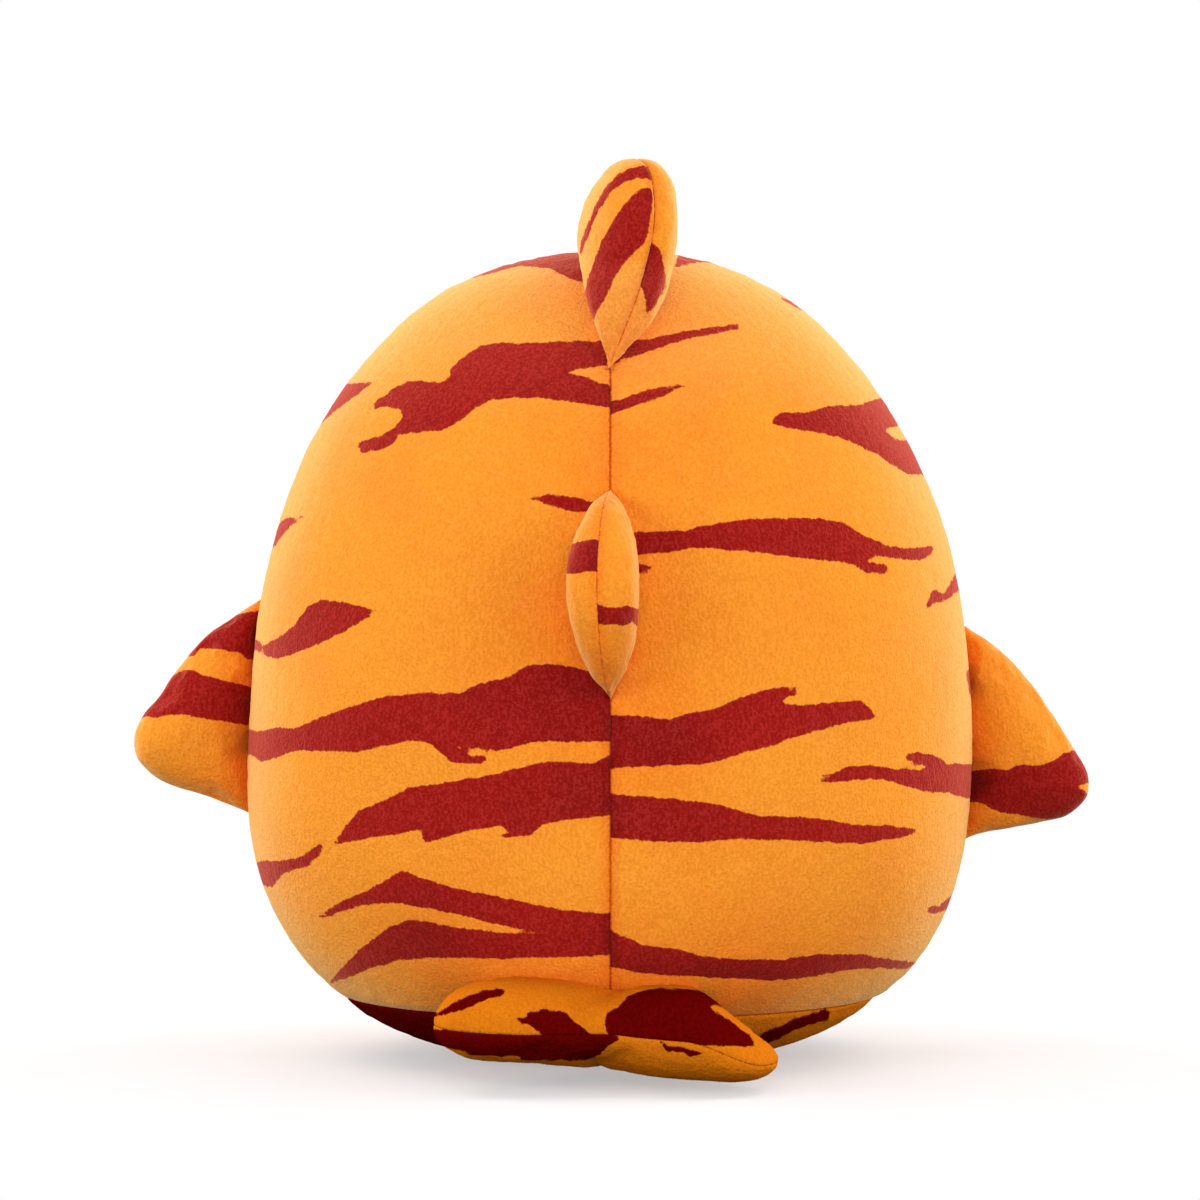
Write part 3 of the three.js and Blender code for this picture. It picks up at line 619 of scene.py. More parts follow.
def plush(name, ground, stripe=None, sheen=Pile.SHEEN):
    """Short-pile plush: a pebbled pile, scuffed patches, ragged printed stripes and flattened seams, with
    painted shade beside the seams and round fin roots, painted sheen where the pile is seen edge-on and below
    the crown, and painted shade where a cover is marked for it.

    ground and stripe each hold a colour, then the same where it is scuffed and in painted shade by seams and
    fin roots, in painted sheen, and in painted shade.
    """
    net = new_material(name)
    where = net.coordinates()
    combed = net.add("ShaderNodeMapping", inputs={"Vector": where, "Scale": Pile.RIB_STRETCH})
    pebble = net.noise(where, Pile.PEBBLE, detail=1.0)
    ribs = net.noise(combed, Pile.RIB, detail=1.0)
    tufts = net.noise(where, Pile.TUFT)
    patches = net.noise(where, Pile.PATCH, detail=3.0, roughness=0.6)
    broad = net.noise(where, Pile.BROAD_PATCH, detail=1.0)
    seam, painted_shade = net.attribute("seam"), net.attribute("painted_shade")
    # Deeper tone: scuffed patches and tufts, and painted shade beside seams and round fin roots
    pressed_and_shaded = net.step(seam, *Pile.PRESSED_AND_SHADED_RANGE)
    rubbed_and_shaded = shares_of(Pile.RUB, patches, broad, tufts, pressed_and_shaded, net.attribute("rubbed_and_shaded"))
    rub_and_shade = net.step(rubbed_and_shaded, *Pile.RUB_RANGE)
    # Painted sheen: lighter where the pile is seen edge-on, in a band below the crown and in patches, and
    # none where shade is painted
    facing = net.add("ShaderNodeLayerWeight", output="Facing")
    along = net.step(facing, *Pile.ALONG_RANGE)
    height = net.height_of(where)
    crown = net.step(height, *Pile.CROWN_START) * net.step(height, *Pile.CROWN_END)
    uneven = patches + tufts * Pile.UNEVEN_TUFTS - Pile.UNEVEN_MIDDLE
    painted_sheen = shares_of(Pile.PAINTED_SHEEN, along, crown, uneven) * (1 - painted_shade)
    grain = net.step(shares_of(Pile.SHADE, pebble, ribs, tufts), *Pile.SHADE_RANGE)

    def dyed(tones, flecks):
        """A dye's colour, scuffed and with painted shade and painted sheen; flecks holds how much each
        channel changes from tip to depth
        """
        fresh, worn_and_shaded, painted_sheen_tone, painted_shade_tone = tones
        dye = net.mix(painted_sheen, net.mix(painted_shade, net.mix(rub_and_shade, fresh, worn_and_shaded), painted_shade_tone), painted_sheen_tone)
        shades = {index: grain * depth + (1 - depth / 2) for index, depth in enumerate(flecks)}
        return net.mix(1.0, dye, net.add("ShaderNodeCombineColor", inputs=shades), blend="MULTIPLY")

    colour = dyed(ground, Pile.GROUND_FLECKS)
    if stripe is not None:
        rags = net.noise(where, Pile.STRIPE_RAG, detail=3.0, roughness=0.65) - NOISE_MIDDLE
        edge = net.attribute("stripe") + shares_of(Pile.STRIPE_MOVES, rags, pebble - NOISE_MIDDLE)
        colour = net.mix(net.step(edge, *Pile.STRIPE_RANGE), colour, dyed(stripe, Pile.STRIPE_FLECKS))
    colour = net.mix(net.step(grain, *Pile.TIP_RANGE) * (1 - painted_shade) * Pile.TIP_SHARE, colour, Pile.TIP)
    # The seams' dark line: their joint, and painted shade in the groove
    sewn = net.step(seam + (pebble - NOISE_MIDDLE) * Pile.SEAM_PEBBLES, *Pile.SEAM_RANGE)
    colour = net.mix(sewn, colour, settings().cloth.seam_joint_and_shade, blend="MULTIPLY")
    relief = shares_of(Pile.RELIEF, pebble, ribs, tufts)
    return net.finish({
        "Base Color": colour,
        "Roughness": Pile.ROUGHNESS,
        "Specular IOR Level": Pile.SHINE_FOR_SHEEN * sheen,
        "Sheen Weight": sheen,
        "Sheen Roughness": Pile.SHEEN_ROUGHNESS,
        "Sheen Tint": Pile.SHEEN_TINT,
        "Normal": net.bump(relief, Pile.RELIEF_HEIGHT, Pile.RELIEF_STRENGTH),
    })


def shaded(colour, share):
    return tuple(share * channel for channel in colour)


class Thread:
    """Satin stitches: the size of a fibre in metres, and the painted light and shade of the stitches."""

    FIBRE, FRAY = 0.0006, 0.8
    # Painted shade between stitches: the share of the colour it leaves, and where it starts and ends
    DARK, DARK_RANGE = 0.45, (1.0, 0.25)
    RELIEF, RELIEF_HEIGHT, RELIEF_STRENGTH = (0.8, 0.3), 0.0004, 0.7
    ROUGHNESS, SHINE = 0.60, 0.22


def satin_thread(name, colour):
    """Embroidery: rows of satin stitches, each with painted light along its middle and painted shade at its
    sides
    """
    net = new_material(name)
    row = net.attribute("stitch")
    ridge = abs((row - row.maths("FLOOR")) - 0.5) * 2.0
    fibre = net.noise(net.coordinates(), Thread.FIBRE)
    # Painted light along each stitch's middle, painted shade between stitches
    lit = net.step(ridge + (fibre - NOISE_MIDDLE) * Thread.FRAY, *Thread.DARK_RANGE)
    relief = shares_of(Thread.RELIEF, 1 - ridge, fibre)
    return net.finish({
        "Base Color": net.mix(lit, shaded(colour, Thread.DARK), colour),
        "Roughness": Thread.ROUGHNESS,
        "Specular IOR Level": Thread.SHINE,
        "Normal": net.bump(relief, Thread.RELIEF_HEIGHT, Thread.RELIEF_STRENGTH),
    })


class Felt:
    """Pressed felt: sizes of its fibres and clouds in metres, and how they are shaded."""

    FIBRE, CLOUD = 0.0007, 0.006
    SHADE, SHADE_RANGE = (0.7, 0.4), (0.35, 0.75)
    DARK = 0.78
    RELIEF_HEIGHT, RELIEF_STRENGTH = 0.0006, 0.6
    ROUGHNESS, SHINE, SHEEN = 0.95, 0.1, 0.15


def felt(name, colour):
    """Pressed felt: matted short fibres with no weave"""
    net = new_material(name)
    where = net.coordinates()
    fibre = net.noise(where, Felt.FIBRE, detail=4.0, roughness=0.7)
    lit = net.step(shares_of(Felt.SHADE, fibre, net.noise(where, Felt.CLOUD)), *Felt.SHADE_RANGE)
    return net.finish({
        "Base Color": net.mix(lit, shaded(colour, Felt.DARK), colour),
        "Roughness": Felt.ROUGHNESS,
        "Specular IOR Level": Felt.SHINE,
        "Sheen Weight": Felt.SHEEN,
        "Normal": net.bump(fibre, Felt.RELIEF_HEIGHT, Felt.RELIEF_STRENGTH),
    })


# The cream where it is fresh, scuffed and in painted shade by seams and fin roots, in painted sheen, and in
# painted shade
CREAM_SHADES = (1.0, 0.84, 1.08, 0.8)
FINISHES = {}


def finish_of(name):
    """Each finish is made once"""
    if name not in FINISHES:
        cloth, face = settings().cloth, settings().face
        orange = (cloth.orange, cloth.deep_orange, cloth.orange_painted_sheen, cloth.orange_painted_shade)
        red = (cloth.red, cloth.dark_red, cloth.red_painted_sheen, cloth.red_painted_shade)
        make = {
            "tiger_plush": lambda: plush(name, orange, red),
            # Plush without sheen, for the tail, the base and fins with much painted shade
            "tiger_plush_painted_shade": lambda: plush(name, orange, red, sheen=0.0),
            "cream_plush": lambda: plush(name, [shaded(cloth.cream, share) for share in CREAM_SHADES]),
            "amber_thread": lambda: satin_thread(name, face.amber),
            "black_thread": lambda: satin_thread(name, face.black),
            "maroon_thread": lambda: satin_thread(name, face.maroon),
            "white_felt": lambda: felt(name, face.felt),
        }
        FINISHES[name] = make[name]()
    return FINISHES[name]


# Mesh helpers

AT_END = 1e-5
TINY = 1e-9
SAME_PLACE = 1e-6


def at_start(share):
    return share < AT_END


def at_end(share):
    return share > 1 - AT_END


def at_ends(share):
    return at_start(share) | at_end(share)


def pick(piece):
    bpy.ops.object.select_all(action="DESELECT")
    piece.select_set(True)
    bpy.context.view_layer.objects.active = piece


def grid_cloth(name, columns, rows):
    """A flat grid, with each corner's share of the way across and up"""
    bpy.ops.object.select_all(action="DESELECT")
    bpy.ops.mesh.primitive_grid_add(x_subdivisions=columns, y_subdivisions=rows, size=2)
    piece = bpy.context.object
    piece.name = name
    piece.data.name = name
    flat = points_of(piece)
    return piece, (flat[:, 0] + 1) / 2, (flat[:, 1] + 1) / 2


def points_of(piece):
    flat = np.empty(len(piece.data.vertices) * 3, dtype=np.float32)
    piece.data.vertices.foreach_get("co", flat)
    return flat.reshape(-1, 3).astype(float)


def set_points(piece, points):
    piece.data.vertices.foreach_set("co", points.astype(np.float32).ravel())
    piece.data.update()


def normals_of(piece):
    flat = np.empty(len(piece.data.vertices) * 3, dtype=np.float32)
    piece.data.vertex_normals.foreach_get("vector", flat)
    return flat.reshape(-1, 3).astype(float)


def set_attribute(piece, name, values):
    layer = piece.data.attributes.new(name, "FLOAT", "POINT")
    layer.data.foreach_set("value", values.astype(np.float32))


def attribute_of(piece, name):
    values = np.empty(len(piece.data.vertices), dtype=np.float32)
    piece.data.attributes[name].data.foreach_get("value", values)
    return values.astype(float)


def edit(piece, step):
    """Runs an edit-mode step on all of one piece"""
    pick(piece)
    bpy.ops.object.mode_set(mode="EDIT")
    bpy.ops.mesh.select_all(action="SELECT")
    step()
    bpy.ops.object.mode_set(mode="OBJECT")


def close_doubles(piece, reach=SAME_PLACE):
    edit(piece, lambda: bpy.ops.mesh.remove_doubles(threshold=reach))


def face_outwards(piece, outwards):
    """Turns the piece over if its faces look away from outwards: one direction, or one for each corner"""
    if (normals_of(piece) * outwards).sum() < 0:
        edit(piece, bpy.ops.mesh.flip_normals)


def thicken(piece, thickness, wall=None):
    """Gives the cloth its wall, inwards; wall holds each corner's share of the thickness"""
    bpy.context.view_layer.objects.active = piece
    modifier = piece.modifiers.new("cloth", "SOLIDIFY")
    modifier.thickness = thickness
    modifier.offset = -1.0
    if wall is not None:
        group = piece.vertex_groups.new(name="wall")
        for index, share in enumerate(wall):
            group.add([index], share, "REPLACE")
        modifier.vertex_group = group.name
    bpy.ops.object.modifier_apply(modifier=modifier.name)
    piece.vertex_groups.clear()


def finish_piece(piece, finish, nodes):
    """Smooths a piece, gives it its finish and hides the solids that it stands for"""
    pick(piece)
    bpy.ops.object.shade_smooth()
    piece.data.materials.append(finish_of(finish))
    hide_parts(*nodes)


def unit(vector):
    return vector / np.linalg.norm(vector)


def eased(share):
    """Shares from 0 to 1 with a soft start and end"""
    return share**2 * (3 - 2 * share)


def crowded_ends(share, crowding=0.65):
    """Shares from 0 to 1 that lie closer together at both ends"""
    return share - crowding * np.sin(2 * math.pi * share) / (2 * math.pi)


SEED_STEPS = (1.0, 1.7, -2.3)


def noise_at(points, size, seed):
    """Smooth noise from -1 to 1 at each point"""
    shift = Vector([seed * step for step in SEED_STEPS])
    return np.array([noise.noise(Vector(point) / size + shift) for point in points])


def distance_to(line, points):
    """Distance from each point to the nearest point of a line"""
    tree = kdtree.KDTree(len(line))
    for index, point in enumerate(line):
        tree.insert(Vector(point), index)
    tree.balance()
    return np.array([tree.find(Vector(point))[2] for point in points])


# The photograph's view, and the stripes drawn in it


def photo_camera():
    """Place of the photograph's camera, and its right, up and forward directions"""
    rise, level = math.sin(PHOTO_ELEVATION), math.cos(PHOTO_ELEVATION)
    forward = np.array((0.0, level, -rise))
    up = np.array((0.0, rise, level))
    place = np.array(PHOTO_TARGET) - forward * PHOTO_DISTANCE
    return place, np.array((1.0, 0.0, 0.0)), up, forward


def pixels_of(points):
    """Where points of the shark lie in the photograph"""
    place, right, up, forward = photo_camera()
    seen = points - place
    scale = PHOTO_DISTANCE / PIXEL / (seen @ forward)
    middle = PHOTO_PIXELS / 2
    return np.column_stack((middle + scale * (seen @ right), middle - scale * (seen @ up)))


def outline_distance(pixels, outline):
    """Signed distance to a closed outline, negative inside"""
    start = np.array(outline, dtype=float)
    side = np.roll(start, -1, axis=0) - start
    from_start = pixels[:, None, :] - start[None]
    share = np.clip((from_start * side).sum(2) / (side**2).sum(1), 0, 1)
    gap = np.linalg.norm(from_start - share[..., None] * side, axis=2).min(1)
    below = from_start[..., 1] < 0
    below_end = from_start[..., 1] - side[:, 1] < 0
    lean = side[:, 0] * from_start[..., 1] - side[:, 1] * from_start[..., 0]
    crossed = (below != below_end) & ((lean > 0) == (side[:, 1] > 0))
    inside = crossed.sum(1) % 2 == 1
    return np.where(inside, -gap, gap)


def stripe_distance(pixels, outlines):
    """Metres from each point to the nearest stripe's edge, negative inside a stripe"""
    nearest = np.full(len(pixels), float(FAR_FROM_STRIPE))
    for outline in outlines:
        low = np.min(outline, axis=0) - FAR_FROM_STRIPE
        high = np.max(outline, axis=0) + FAR_FROM_STRIPE
        close = ((pixels > low) & (pixels < high)).all(1)
        if close.any():
            nearest[close] = np.minimum(nearest[close], outline_distance(pixels[close], outline))
    return nearest * PIXEL


def back_stripes(outlines):
    return lambda points: stripe_distance(pixels_of(points), outlines)


def front_stripes(points):
    """The front's stripes, drawn as seen from the front"""
    half_turn = points * np.array((-1.0, -1.0, 1.0))
    pixels = pixels_of(half_turn)
    mirrored = pixels * np.array((-1.0, 1.0)) + np.array((2 * AXIS_COLUMN, -FRONT_LEFT_DROP))
    return np.minimum(stripe_distance(pixels, FRONT_STRIPES), stripe_distance(mirrored, FRONT_STRIPES))


def base_stripes(points):
    """Stripes that the photograph shows above the floor, and the back's own stripes on the underside"""
    above = stripe_distance(pixels_of(points), BASE_STRIPES)
    plan = np.column_stack((AXIS_COLUMN + points[:, 0] / PIXEL, UNDERSIDE_ROW - points[:, 1] / PIXEL))
    under = stripe_distance(plan, LEFT_STRIPES + RIGHT_STRIPES)
    return np.where((points[:, 2] > SHOWN_ABOVE) & (points[:, 1] < 0), above, under)


def no_stripes(points):
    return np.full(len(points), FAR_FROM_STRIPE * PIXEL)


# Body


class Skin:
    """The body's smooth skin: an egg with its widest ring below the middle, pressed flat on the floor."""

    SAMPLES = 600

    def __init__(self, size):
        self.size = size
        under = size.equator + size.pressed_flat
        spread = np.linspace(0, 1, self.SAMPLES) ** 2
        floor_angle = math.asin((size.equator / under) ** (size.underside_roundness / 2))
        low, low_power = floor_angle * spread[::-1], 2 / size.underside_roundness
        high, high_power = math.pi / 2 * spread[1:], 2 / size.crown_roundness
        out = np.concatenate(([0], np.cos(low) ** low_power, np.cos(high).clip(0) ** high_power))
        drop, rise = under * np.sin(low) ** low_power, size.crown_rise * np.sin(high) ** high_power
        self.out = out * size.width / 2
        self.height = np.concatenate(([0], size.equator - drop, size.equator + rise))
        steps = np.hypot(np.diff(self.out), np.diff(self.height))
        self.run = np.concatenate(([0], np.cumsum(steps)))
        self.crown = self.run[-1]
        self.squeeze = size.depth / size.width

    def at(self, turn, run):
        """Points at an angle round the axis from the back, and a run along the skin from under the middle"""
        turn, run = np.broadcast_arrays(turn, run)
        out = np.interp(run, self.run, self.out)
        height = np.interp(run, self.run, self.height)
        return np.column_stack((out * np.sin(turn), -out * self.squeeze * np.cos(turn), height))

    def run_at(self, height):
        return np.interp(height, self.height[1:], self.run[1:])

    def half_width(self, height):
        return np.interp(height, self.height[1:], self.out[1:])

    def front_turn(self, x, height):
        """Angle of a point on the front that lies x from the middle"""
        return math.pi - np.arcsin(np.clip(x / self.half_width(height), -1, 1))

    def side_turn(self):
        """The side seam's angle in the egg's own rings, which are narrower from front to back"""
        turn = self.size.side_seam_turn
        return math.atan2(math.sin(turn), math.cos(turn) / self.squeeze)


ROOT_POINTS = 40


def dorsal_root(skin):
    size, fins = settings().body, settings().fins
    low = skin.run_at(size.equator + size.crown_rise - fins.dorsal_rear_drop)
    upper = slice(skin.SAMPLES, None)
    high = np.interp(-fins.dorsal_front_behind / skin.squeeze, -skin.out[upper], skin.run[upper])
    return skin.at(0.0, np.linspace(low, high, ROOT_POINTS))


def rear_dorsal_root(skin):
    size, fins = settings().body, settings().fins
    heights = size.equator + np.linspace(fins.rear_dorsal_low, fins.rear_dorsal_high, ROOT_POINTS)
    return skin.at(0.0, skin.run_at(heights))


def pectoral_root(skin, sign):
    size, fins = settings().body, settings().fins
    low = size.equator - (fins.left_pectoral_low if sign < 0 else fins.right_pectoral_low)
    heights = np.linspace(low, low + fins.pectoral_root, ROOT_POINTS)
    return skin.at(sign * skin.side_turn(), skin.run_at(heights))


def tail_root(skin):
    size, half = settings().body, settings().fins.tail_root / 2
    turn = np.arcsin(np.linspace(-half, half, ROOT_POINTS) / skin.half_width(size.base_seam))
    return skin.at(turn, skin.run_at(size.base_seam))


def shade_at_roots(points):
    """Painted shade round the fins' roots at each point, from 1 at a fin's root to 0 at that root's reach"""
    cloth, skin = settings().cloth, Skin(settings().body)
    roots = (
        (dorsal_root(skin), cloth.root_shade_reach),
        (rear_dorsal_root(skin), cloth.rear_root_shade_reach),
        (tail_root(skin), cloth.rear_root_shade_reach),
        (pectoral_root(skin, -1), cloth.root_shade_reach),
        (pectoral_root(skin, 1), cloth.root_shade_reach),
    )
    return np.max([np.clip(1 - distance_to(root, points) / reach, 0, 1) for root, reach in roots], axis=0)


# Painted shade round the tail's root: its most, and how it fades
MOST_TAIL_PAINTED_SHADE = 0.9
TAIL_PAINTED_SHADE_FADE = 0.7


def painted_shade_at_tail(points):
    """Painted shade round the tail's root, from its most at the root to none at its reach"""
    share = 1 - distance_to(tail_root(Skin(settings().body)), points) / settings().cloth.tail_painted_shade_reach
    return MOST_TAIL_PAINTED_SHADE * np.clip(share, 0, 1) ** TAIL_PAINTED_SHADE_FADE


# Turns the folds of one gathered end against those of the next, by its height
GATHER_TURN = 40


def gathers(points):
    """Cloth gathered where the dorsal fins' roots end: folds that run out from each end"""
    cloth, skin = settings().cloth, Skin(settings().body)
    rise = np.zeros(len(points))
    for root in (dorsal_root(skin), rear_dorsal_root(skin)):
        for end in (root[0], root[-1]):
            away = points - end
            reach = np.linalg.norm(away, axis=1) / cloth.gather_reach
            folds = np.cos(cloth.gather_folds * np.arctan2(away[:, 2], away[:, 0]) + GATHER_TURN * end[2])
            rise += folds * np.exp(-reach) * np.clip(reach, 0, 1)
    return cloth.gather * rise


# Keep the ripples and tufts of one cover apart from its puckers
RIPPLE_SEED, TUFT_SEED = 3.1, 7.7


def quilt(piece, seam_marks, seed, drawn_in, covered, folds):
    """Pulls the seams in, puckers the cloth beside them and makes stuffing and pile uneven"""
    cloth = settings().cloth
    points = points_of(piece)
    seam = distance_to(points[seam_marks], points)
    set_attribute(piece, "seam", seam + covered)
    # Painted shade round the fins' roots
    set_attribute(piece, "rubbed_and_shaded", shade_at_roots(points))
    off_seam = np.clip(seam / cloth.seam_width, 0, 1)
    groove = cloth.seam_depth * np.exp(-((seam / cloth.seam_width) ** 2))
    pillow = cloth.pillow_depth * np.exp(-seam / cloth.pillow_reach)
    beside = np.exp(-seam / cloth.pucker_reach) * off_seam
    rise = cloth.pucker * beside * noise_at(points, cloth.pucker_length, seed)
    rise += cloth.ripple * noise_at(points, cloth.ripple_length, seed + RIPPLE_SEED)
    rise += cloth.tuft * noise_at(points, cloth.tuft_length, seed + TUFT_SEED)
    rise = rise * np.clip(seam / cloth.pillow_reach, 0, 1) + folds * off_seam
    points += normals_of(piece) * (rise - (groove + pillow) * drawn_in)[:, None]
    points[:, 2] = points[:, 2].clip(0)
    set_points(piece, points)


def sew(
    piece, points, seam_marks, stripes, outwards, seed, finish, nodes,
    body=None, wall=None, drawn_in=1.0, covered=0.0, painted_shade=0.0,
):
    """Makes a grid into a finished cover; wall holds each corner's share of the cloth's thickness"""
    set_points(piece, points)
    set_attribute(piece, "sewn", seam_marks.astype(float))
    set_attribute(piece, "wall", np.ones(len(points)) if wall is None else wall)
    close_doubles(piece)
    shut = points_of(piece)
    face_outwards(piece, outwards(shut))
    set_attribute(piece, "stripe", stripes(shut))
    # Painted shade: the piece's own share, and more round the tail's root
    set_attribute(piece, "painted_shade", np.maximum(painted_shade, painted_shade_at_tail(shut)))
    folds = gathers(shut) if body else 0.0
    quilt(piece, attribute_of(piece, "sewn") > 0.5, seed, drawn_in, covered, folds)
    thicken(piece, settings().cloth.thickness, attribute_of(piece, "wall"))
    finish_piece(piece, finish, nodes)
    if body:
        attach(piece, body)


def from_axis(points):
    """Outwards on the body"""
    return points - np.array((0, 0, settings().body.equator))


class SHARK_OT_back(bpy.types.Operator):
    """Sews the two back covers, which meet in the centre back seam"""

    bl_idname = "shark.back"
    bl_label = "Back covers"

    COLUMNS, ROWS = 200, 236
    SIDES = (("left", -1, LEFT_STRIPES, 11), ("right", 1, RIGHT_STRIPES, 12))

    def execute(self, context):
        skin = Skin(settings().body)
        low = skin.run_at(settings().body.base_seam)
        for side, sign, stripes, seed in self.SIDES:
            piece, across, up = grid_cloth(f"cover_back_{side}", self.COLUMNS, self.ROWS)
            turn = sign * skin.side_turn() * crowded_ends(across)
            run = low + (skin.crown - low) * crowded_ends(up)
            sewn = at_ends(across) | at_start(up)
            sew(
                piece, skin.at(turn, run), sewn, back_stripes(stripes), from_axis, seed,
                "tiger_plush", (f"body_back_panel_{side}",), "body",
            )
        return {"FINISHED"}


class SHARK_OT_front(bpy.types.Operator):
    """Sews the face cover, the belly set into it and the base"""

    bl_idname = "shark.front"
    bl_label = "Face, belly and base covers"

    # The face's grid runs round the belly's arch; this share of it meets each side seam
    FACE_GRID, FACE_SEED, SIDE_SHARE = (340, 136), 21, 0.36
    ARCH_CROWDING, WAY_CROWDING = 0.3, 0.5
    BELLY_GRID, BELLY_SEED, BELLY_CROWDING = (150, 90), 23, 0.5
    BASE_GRID, BASE_SEED, BASE_CROWDING = (280, 56), 25, 1.6
    # Painted shade over the whole base
    BASE_PAINTED_SHADE = 1.0

    def execute(self, context):
        skin = Skin(settings().body)
        self.sew_face(skin)
        self.sew_belly(skin)
        self.sew_base(skin)
        return {"FINISHED"}

    @staticmethod
    def on_arch(skin, angle, ring=1.0):
        """Turn and run of belly points, at an angle from the foot and a share of the way to the seam"""
        size, power = skin.size, 2 / skin.size.belly_roundness
        rise = size.equator + size.belly_top - size.base_seam
        cosine = np.cos(angle)
        x = size.belly_half_width * ring * np.sign(cosine) * np.abs(cosine) ** power
        z = size.base_seam + rise * ring * np.sin(angle).clip(0) ** power
        return skin.front_turn(x, z), skin.run_at(z)

    def sew_face(self, skin):
        piece, across, up = grid_cloth("cover_face", *self.FACE_GRID)
        low = skin.run_at(skin.size.base_seam)
        share = crowded_ends(across, self.ARCH_CROWDING)
        inner_turn, inner_run = self.on_arch(skin, math.pi * share)
        side = skin.side_turn()
        climb = np.clip(np.minimum(share, 1 - share) / self.SIDE_SHARE, 0, 1)
        over = np.clip((share - self.SIDE_SHARE) / (1 - 2 * self.SIDE_SHARE), 0, 1)
        outer_turn = side + (2 * math.pi - 2 * side) * over
        outer_run = low + (skin.crown - low) * climb
        way = crowded_ends(up, self.WAY_CROWDING)
        turn = inner_turn + (outer_turn - inner_turn) * way
        run = inner_run + (outer_run - inner_run) * way
        beside = (share < self.SIDE_SHARE) | (share > 1 - self.SIDE_SHARE)
        sewn = (at_end(up) & beside) | at_start(up) | at_ends(across)
        sew(
            piece, skin.at(turn, run), sewn, front_stripes, from_axis, self.FACE_SEED,
            "tiger_plush", ("face_panel", "body_stuffing"), "body",
        )

    def sew_belly(self, skin):
        """A square grid laid out in arches, one inside the next"""
        piece, across, up = grid_cloth("cover_belly", *self.BELLY_GRID)
        over = 2 * across - 1
        beside = np.abs(over)
        ring = np.maximum(np.maximum(beside, up), TINY)
        corner = math.pi / 4 * np.where(beside >= up, up / ring, 2 - beside / ring)
        angle = np.where(over < 0, math.pi - corner, corner)
        ring = ring * (1 + self.BELLY_CROWDING - self.BELLY_CROWDING * ring)
        sewn = at_ends(across) | at_ends(up)
        sew(
            piece, skin.at(*self.on_arch(skin, angle, ring)), sewn, no_stripes, from_axis, self.BELLY_SEED,
            "cream_plush", ("belly_panel",), "body",
        )

    def sew_base(self, skin):
        piece, across, up = grid_cloth("cover_base", *self.BASE_GRID)
        run = skin.run_at(skin.size.base_seam) * (1 - (1 - up) ** self.BASE_CROWDING)
        sew(
            piece, skin.at(2 * math.pi * across, run), at_end(up), base_stripes, from_axis, self.BASE_SEED,
            "tiger_plush_painted_shade", ("base_panel",), "body", painted_shade=self.BASE_PAINTED_SHADE,
        )


# Fins


class Plane:
    """A fin's own plane: along its root, out from the body and through its thickness."""

    def __init__(self, start, along, outwards, lean=0.0):
        self.start = np.array(start, dtype=float)
        self.along = unit(np.array(along, dtype=float))
        through = unit(np.cross(self.along, outwards))
        out = np.cross(through, self.along)
        self.out = out * math.cos(lean) + through * math.sin(lean)
        self.through = through * math.cos(lean) - out * math.sin(lean)

    def flat(self, points):
        away = np.asarray(points) - self.start
        return np.column_stack((away @ self.along, away @ self.out))

    def solid(self, along, out, through):
        axes = np.array((self.along, self.out, self.through))
        return self.start + np.column_stack((along, out, through)) @ axes


FINE_STEPS = 12


def curve_through(points, count):
    """Evenly spaced points on a smooth curve through a few"""
    points = np.asarray(points, dtype=float)
    knots = np.concatenate(([0], np.cumsum(np.sqrt(np.linalg.norm(np.diff(points, axis=0), axis=1)))))
    pulls = np.gradient(points, knots, axis=0)
    fine = np.linspace(0, knots[-1], FINE_STEPS * count)
    leg = np.clip(np.searchsorted(knots, fine, side="right") - 1, 0, len(knots) - 2)
    length = np.diff(knots)[leg][:, None]
    t = (fine - knots[leg])[:, None] / length
    curve = (
        (2 * t**3 - 3 * t**2 + 1) * points[leg]
        + (t**3 - 2 * t**2 + t) * length * pulls[leg]
        + (3 * t**2 - 2 * t**3) * points[leg + 1]
        + (t**3 - t**2) * length * pulls[leg + 1]
    )
    return evenly(curve, count)


def evenly(curve, count):
    way = np.concatenate(([0], np.cumsum(np.linalg.norm(np.diff(curve, axis=0), axis=1))))
    return at_shares(curve, np.linspace(0, 1, count), way / way[-1])


def at_shares(line, shares, stops):
    """Points of a line at shares of the way along it; stops holds the shares of the line's own points"""
    return np.column_stack([np.interp(shares, stops, axis) for axis in line.T])


def nearest_on(points, line):
    """Distance from flat points to a polyline"""
    start, side = line[:-1], np.diff(line, axis=0)
    away = points[:, None, :] - start[None]
    share = np.clip((away * side).sum(2) / np.maximum((side**2).sum(1), TINY**2), 0, 1)
    return np.linalg.norm(away - share[..., None] * side, axis=2).min(1)


SIMULATED_FRAMES = 20
SIMULATION_QUALITY = 6


def simulate(piece, held):
    """Lets pressure pad a piece of cloth that is held at some of its corners, and returns where they end"""
    cloth = settings().cloth
    seams = piece.vertex_groups.new(name="seams")
    seams.add([int(index) for index in np.flatnonzero(held)], 1.0, "REPLACE")
    modifier = piece.modifiers.new("padding", "CLOTH")
    modifier.settings.vertex_group_mass = seams.name
    modifier.settings.use_pressure = True
    modifier.settings.uniform_pressure_force = cloth.pressure
    modifier.settings.shrink_min = -cloth.fullness
    modifier.settings.mass = cloth.corner_mass
    modifier.settings.quality = SIMULATION_QUALITY
    modifier.settings.effector_weights.gravity = 0
    modifier.point_cache.frame_start = 1
    modifier.point_cache.frame_end = SIMULATED_FRAMES
    for moment in range(1, SIMULATED_FRAMES + 1):
        bpy.context.scene.frame_set(moment)
    bpy.context.view_layer.objects.active = piece
    bpy.ops.object.modifier_apply(modifier=modifier.name)
    padded = points_of(piece)
    bpy.context.scene.frame_set(1)
    return padded


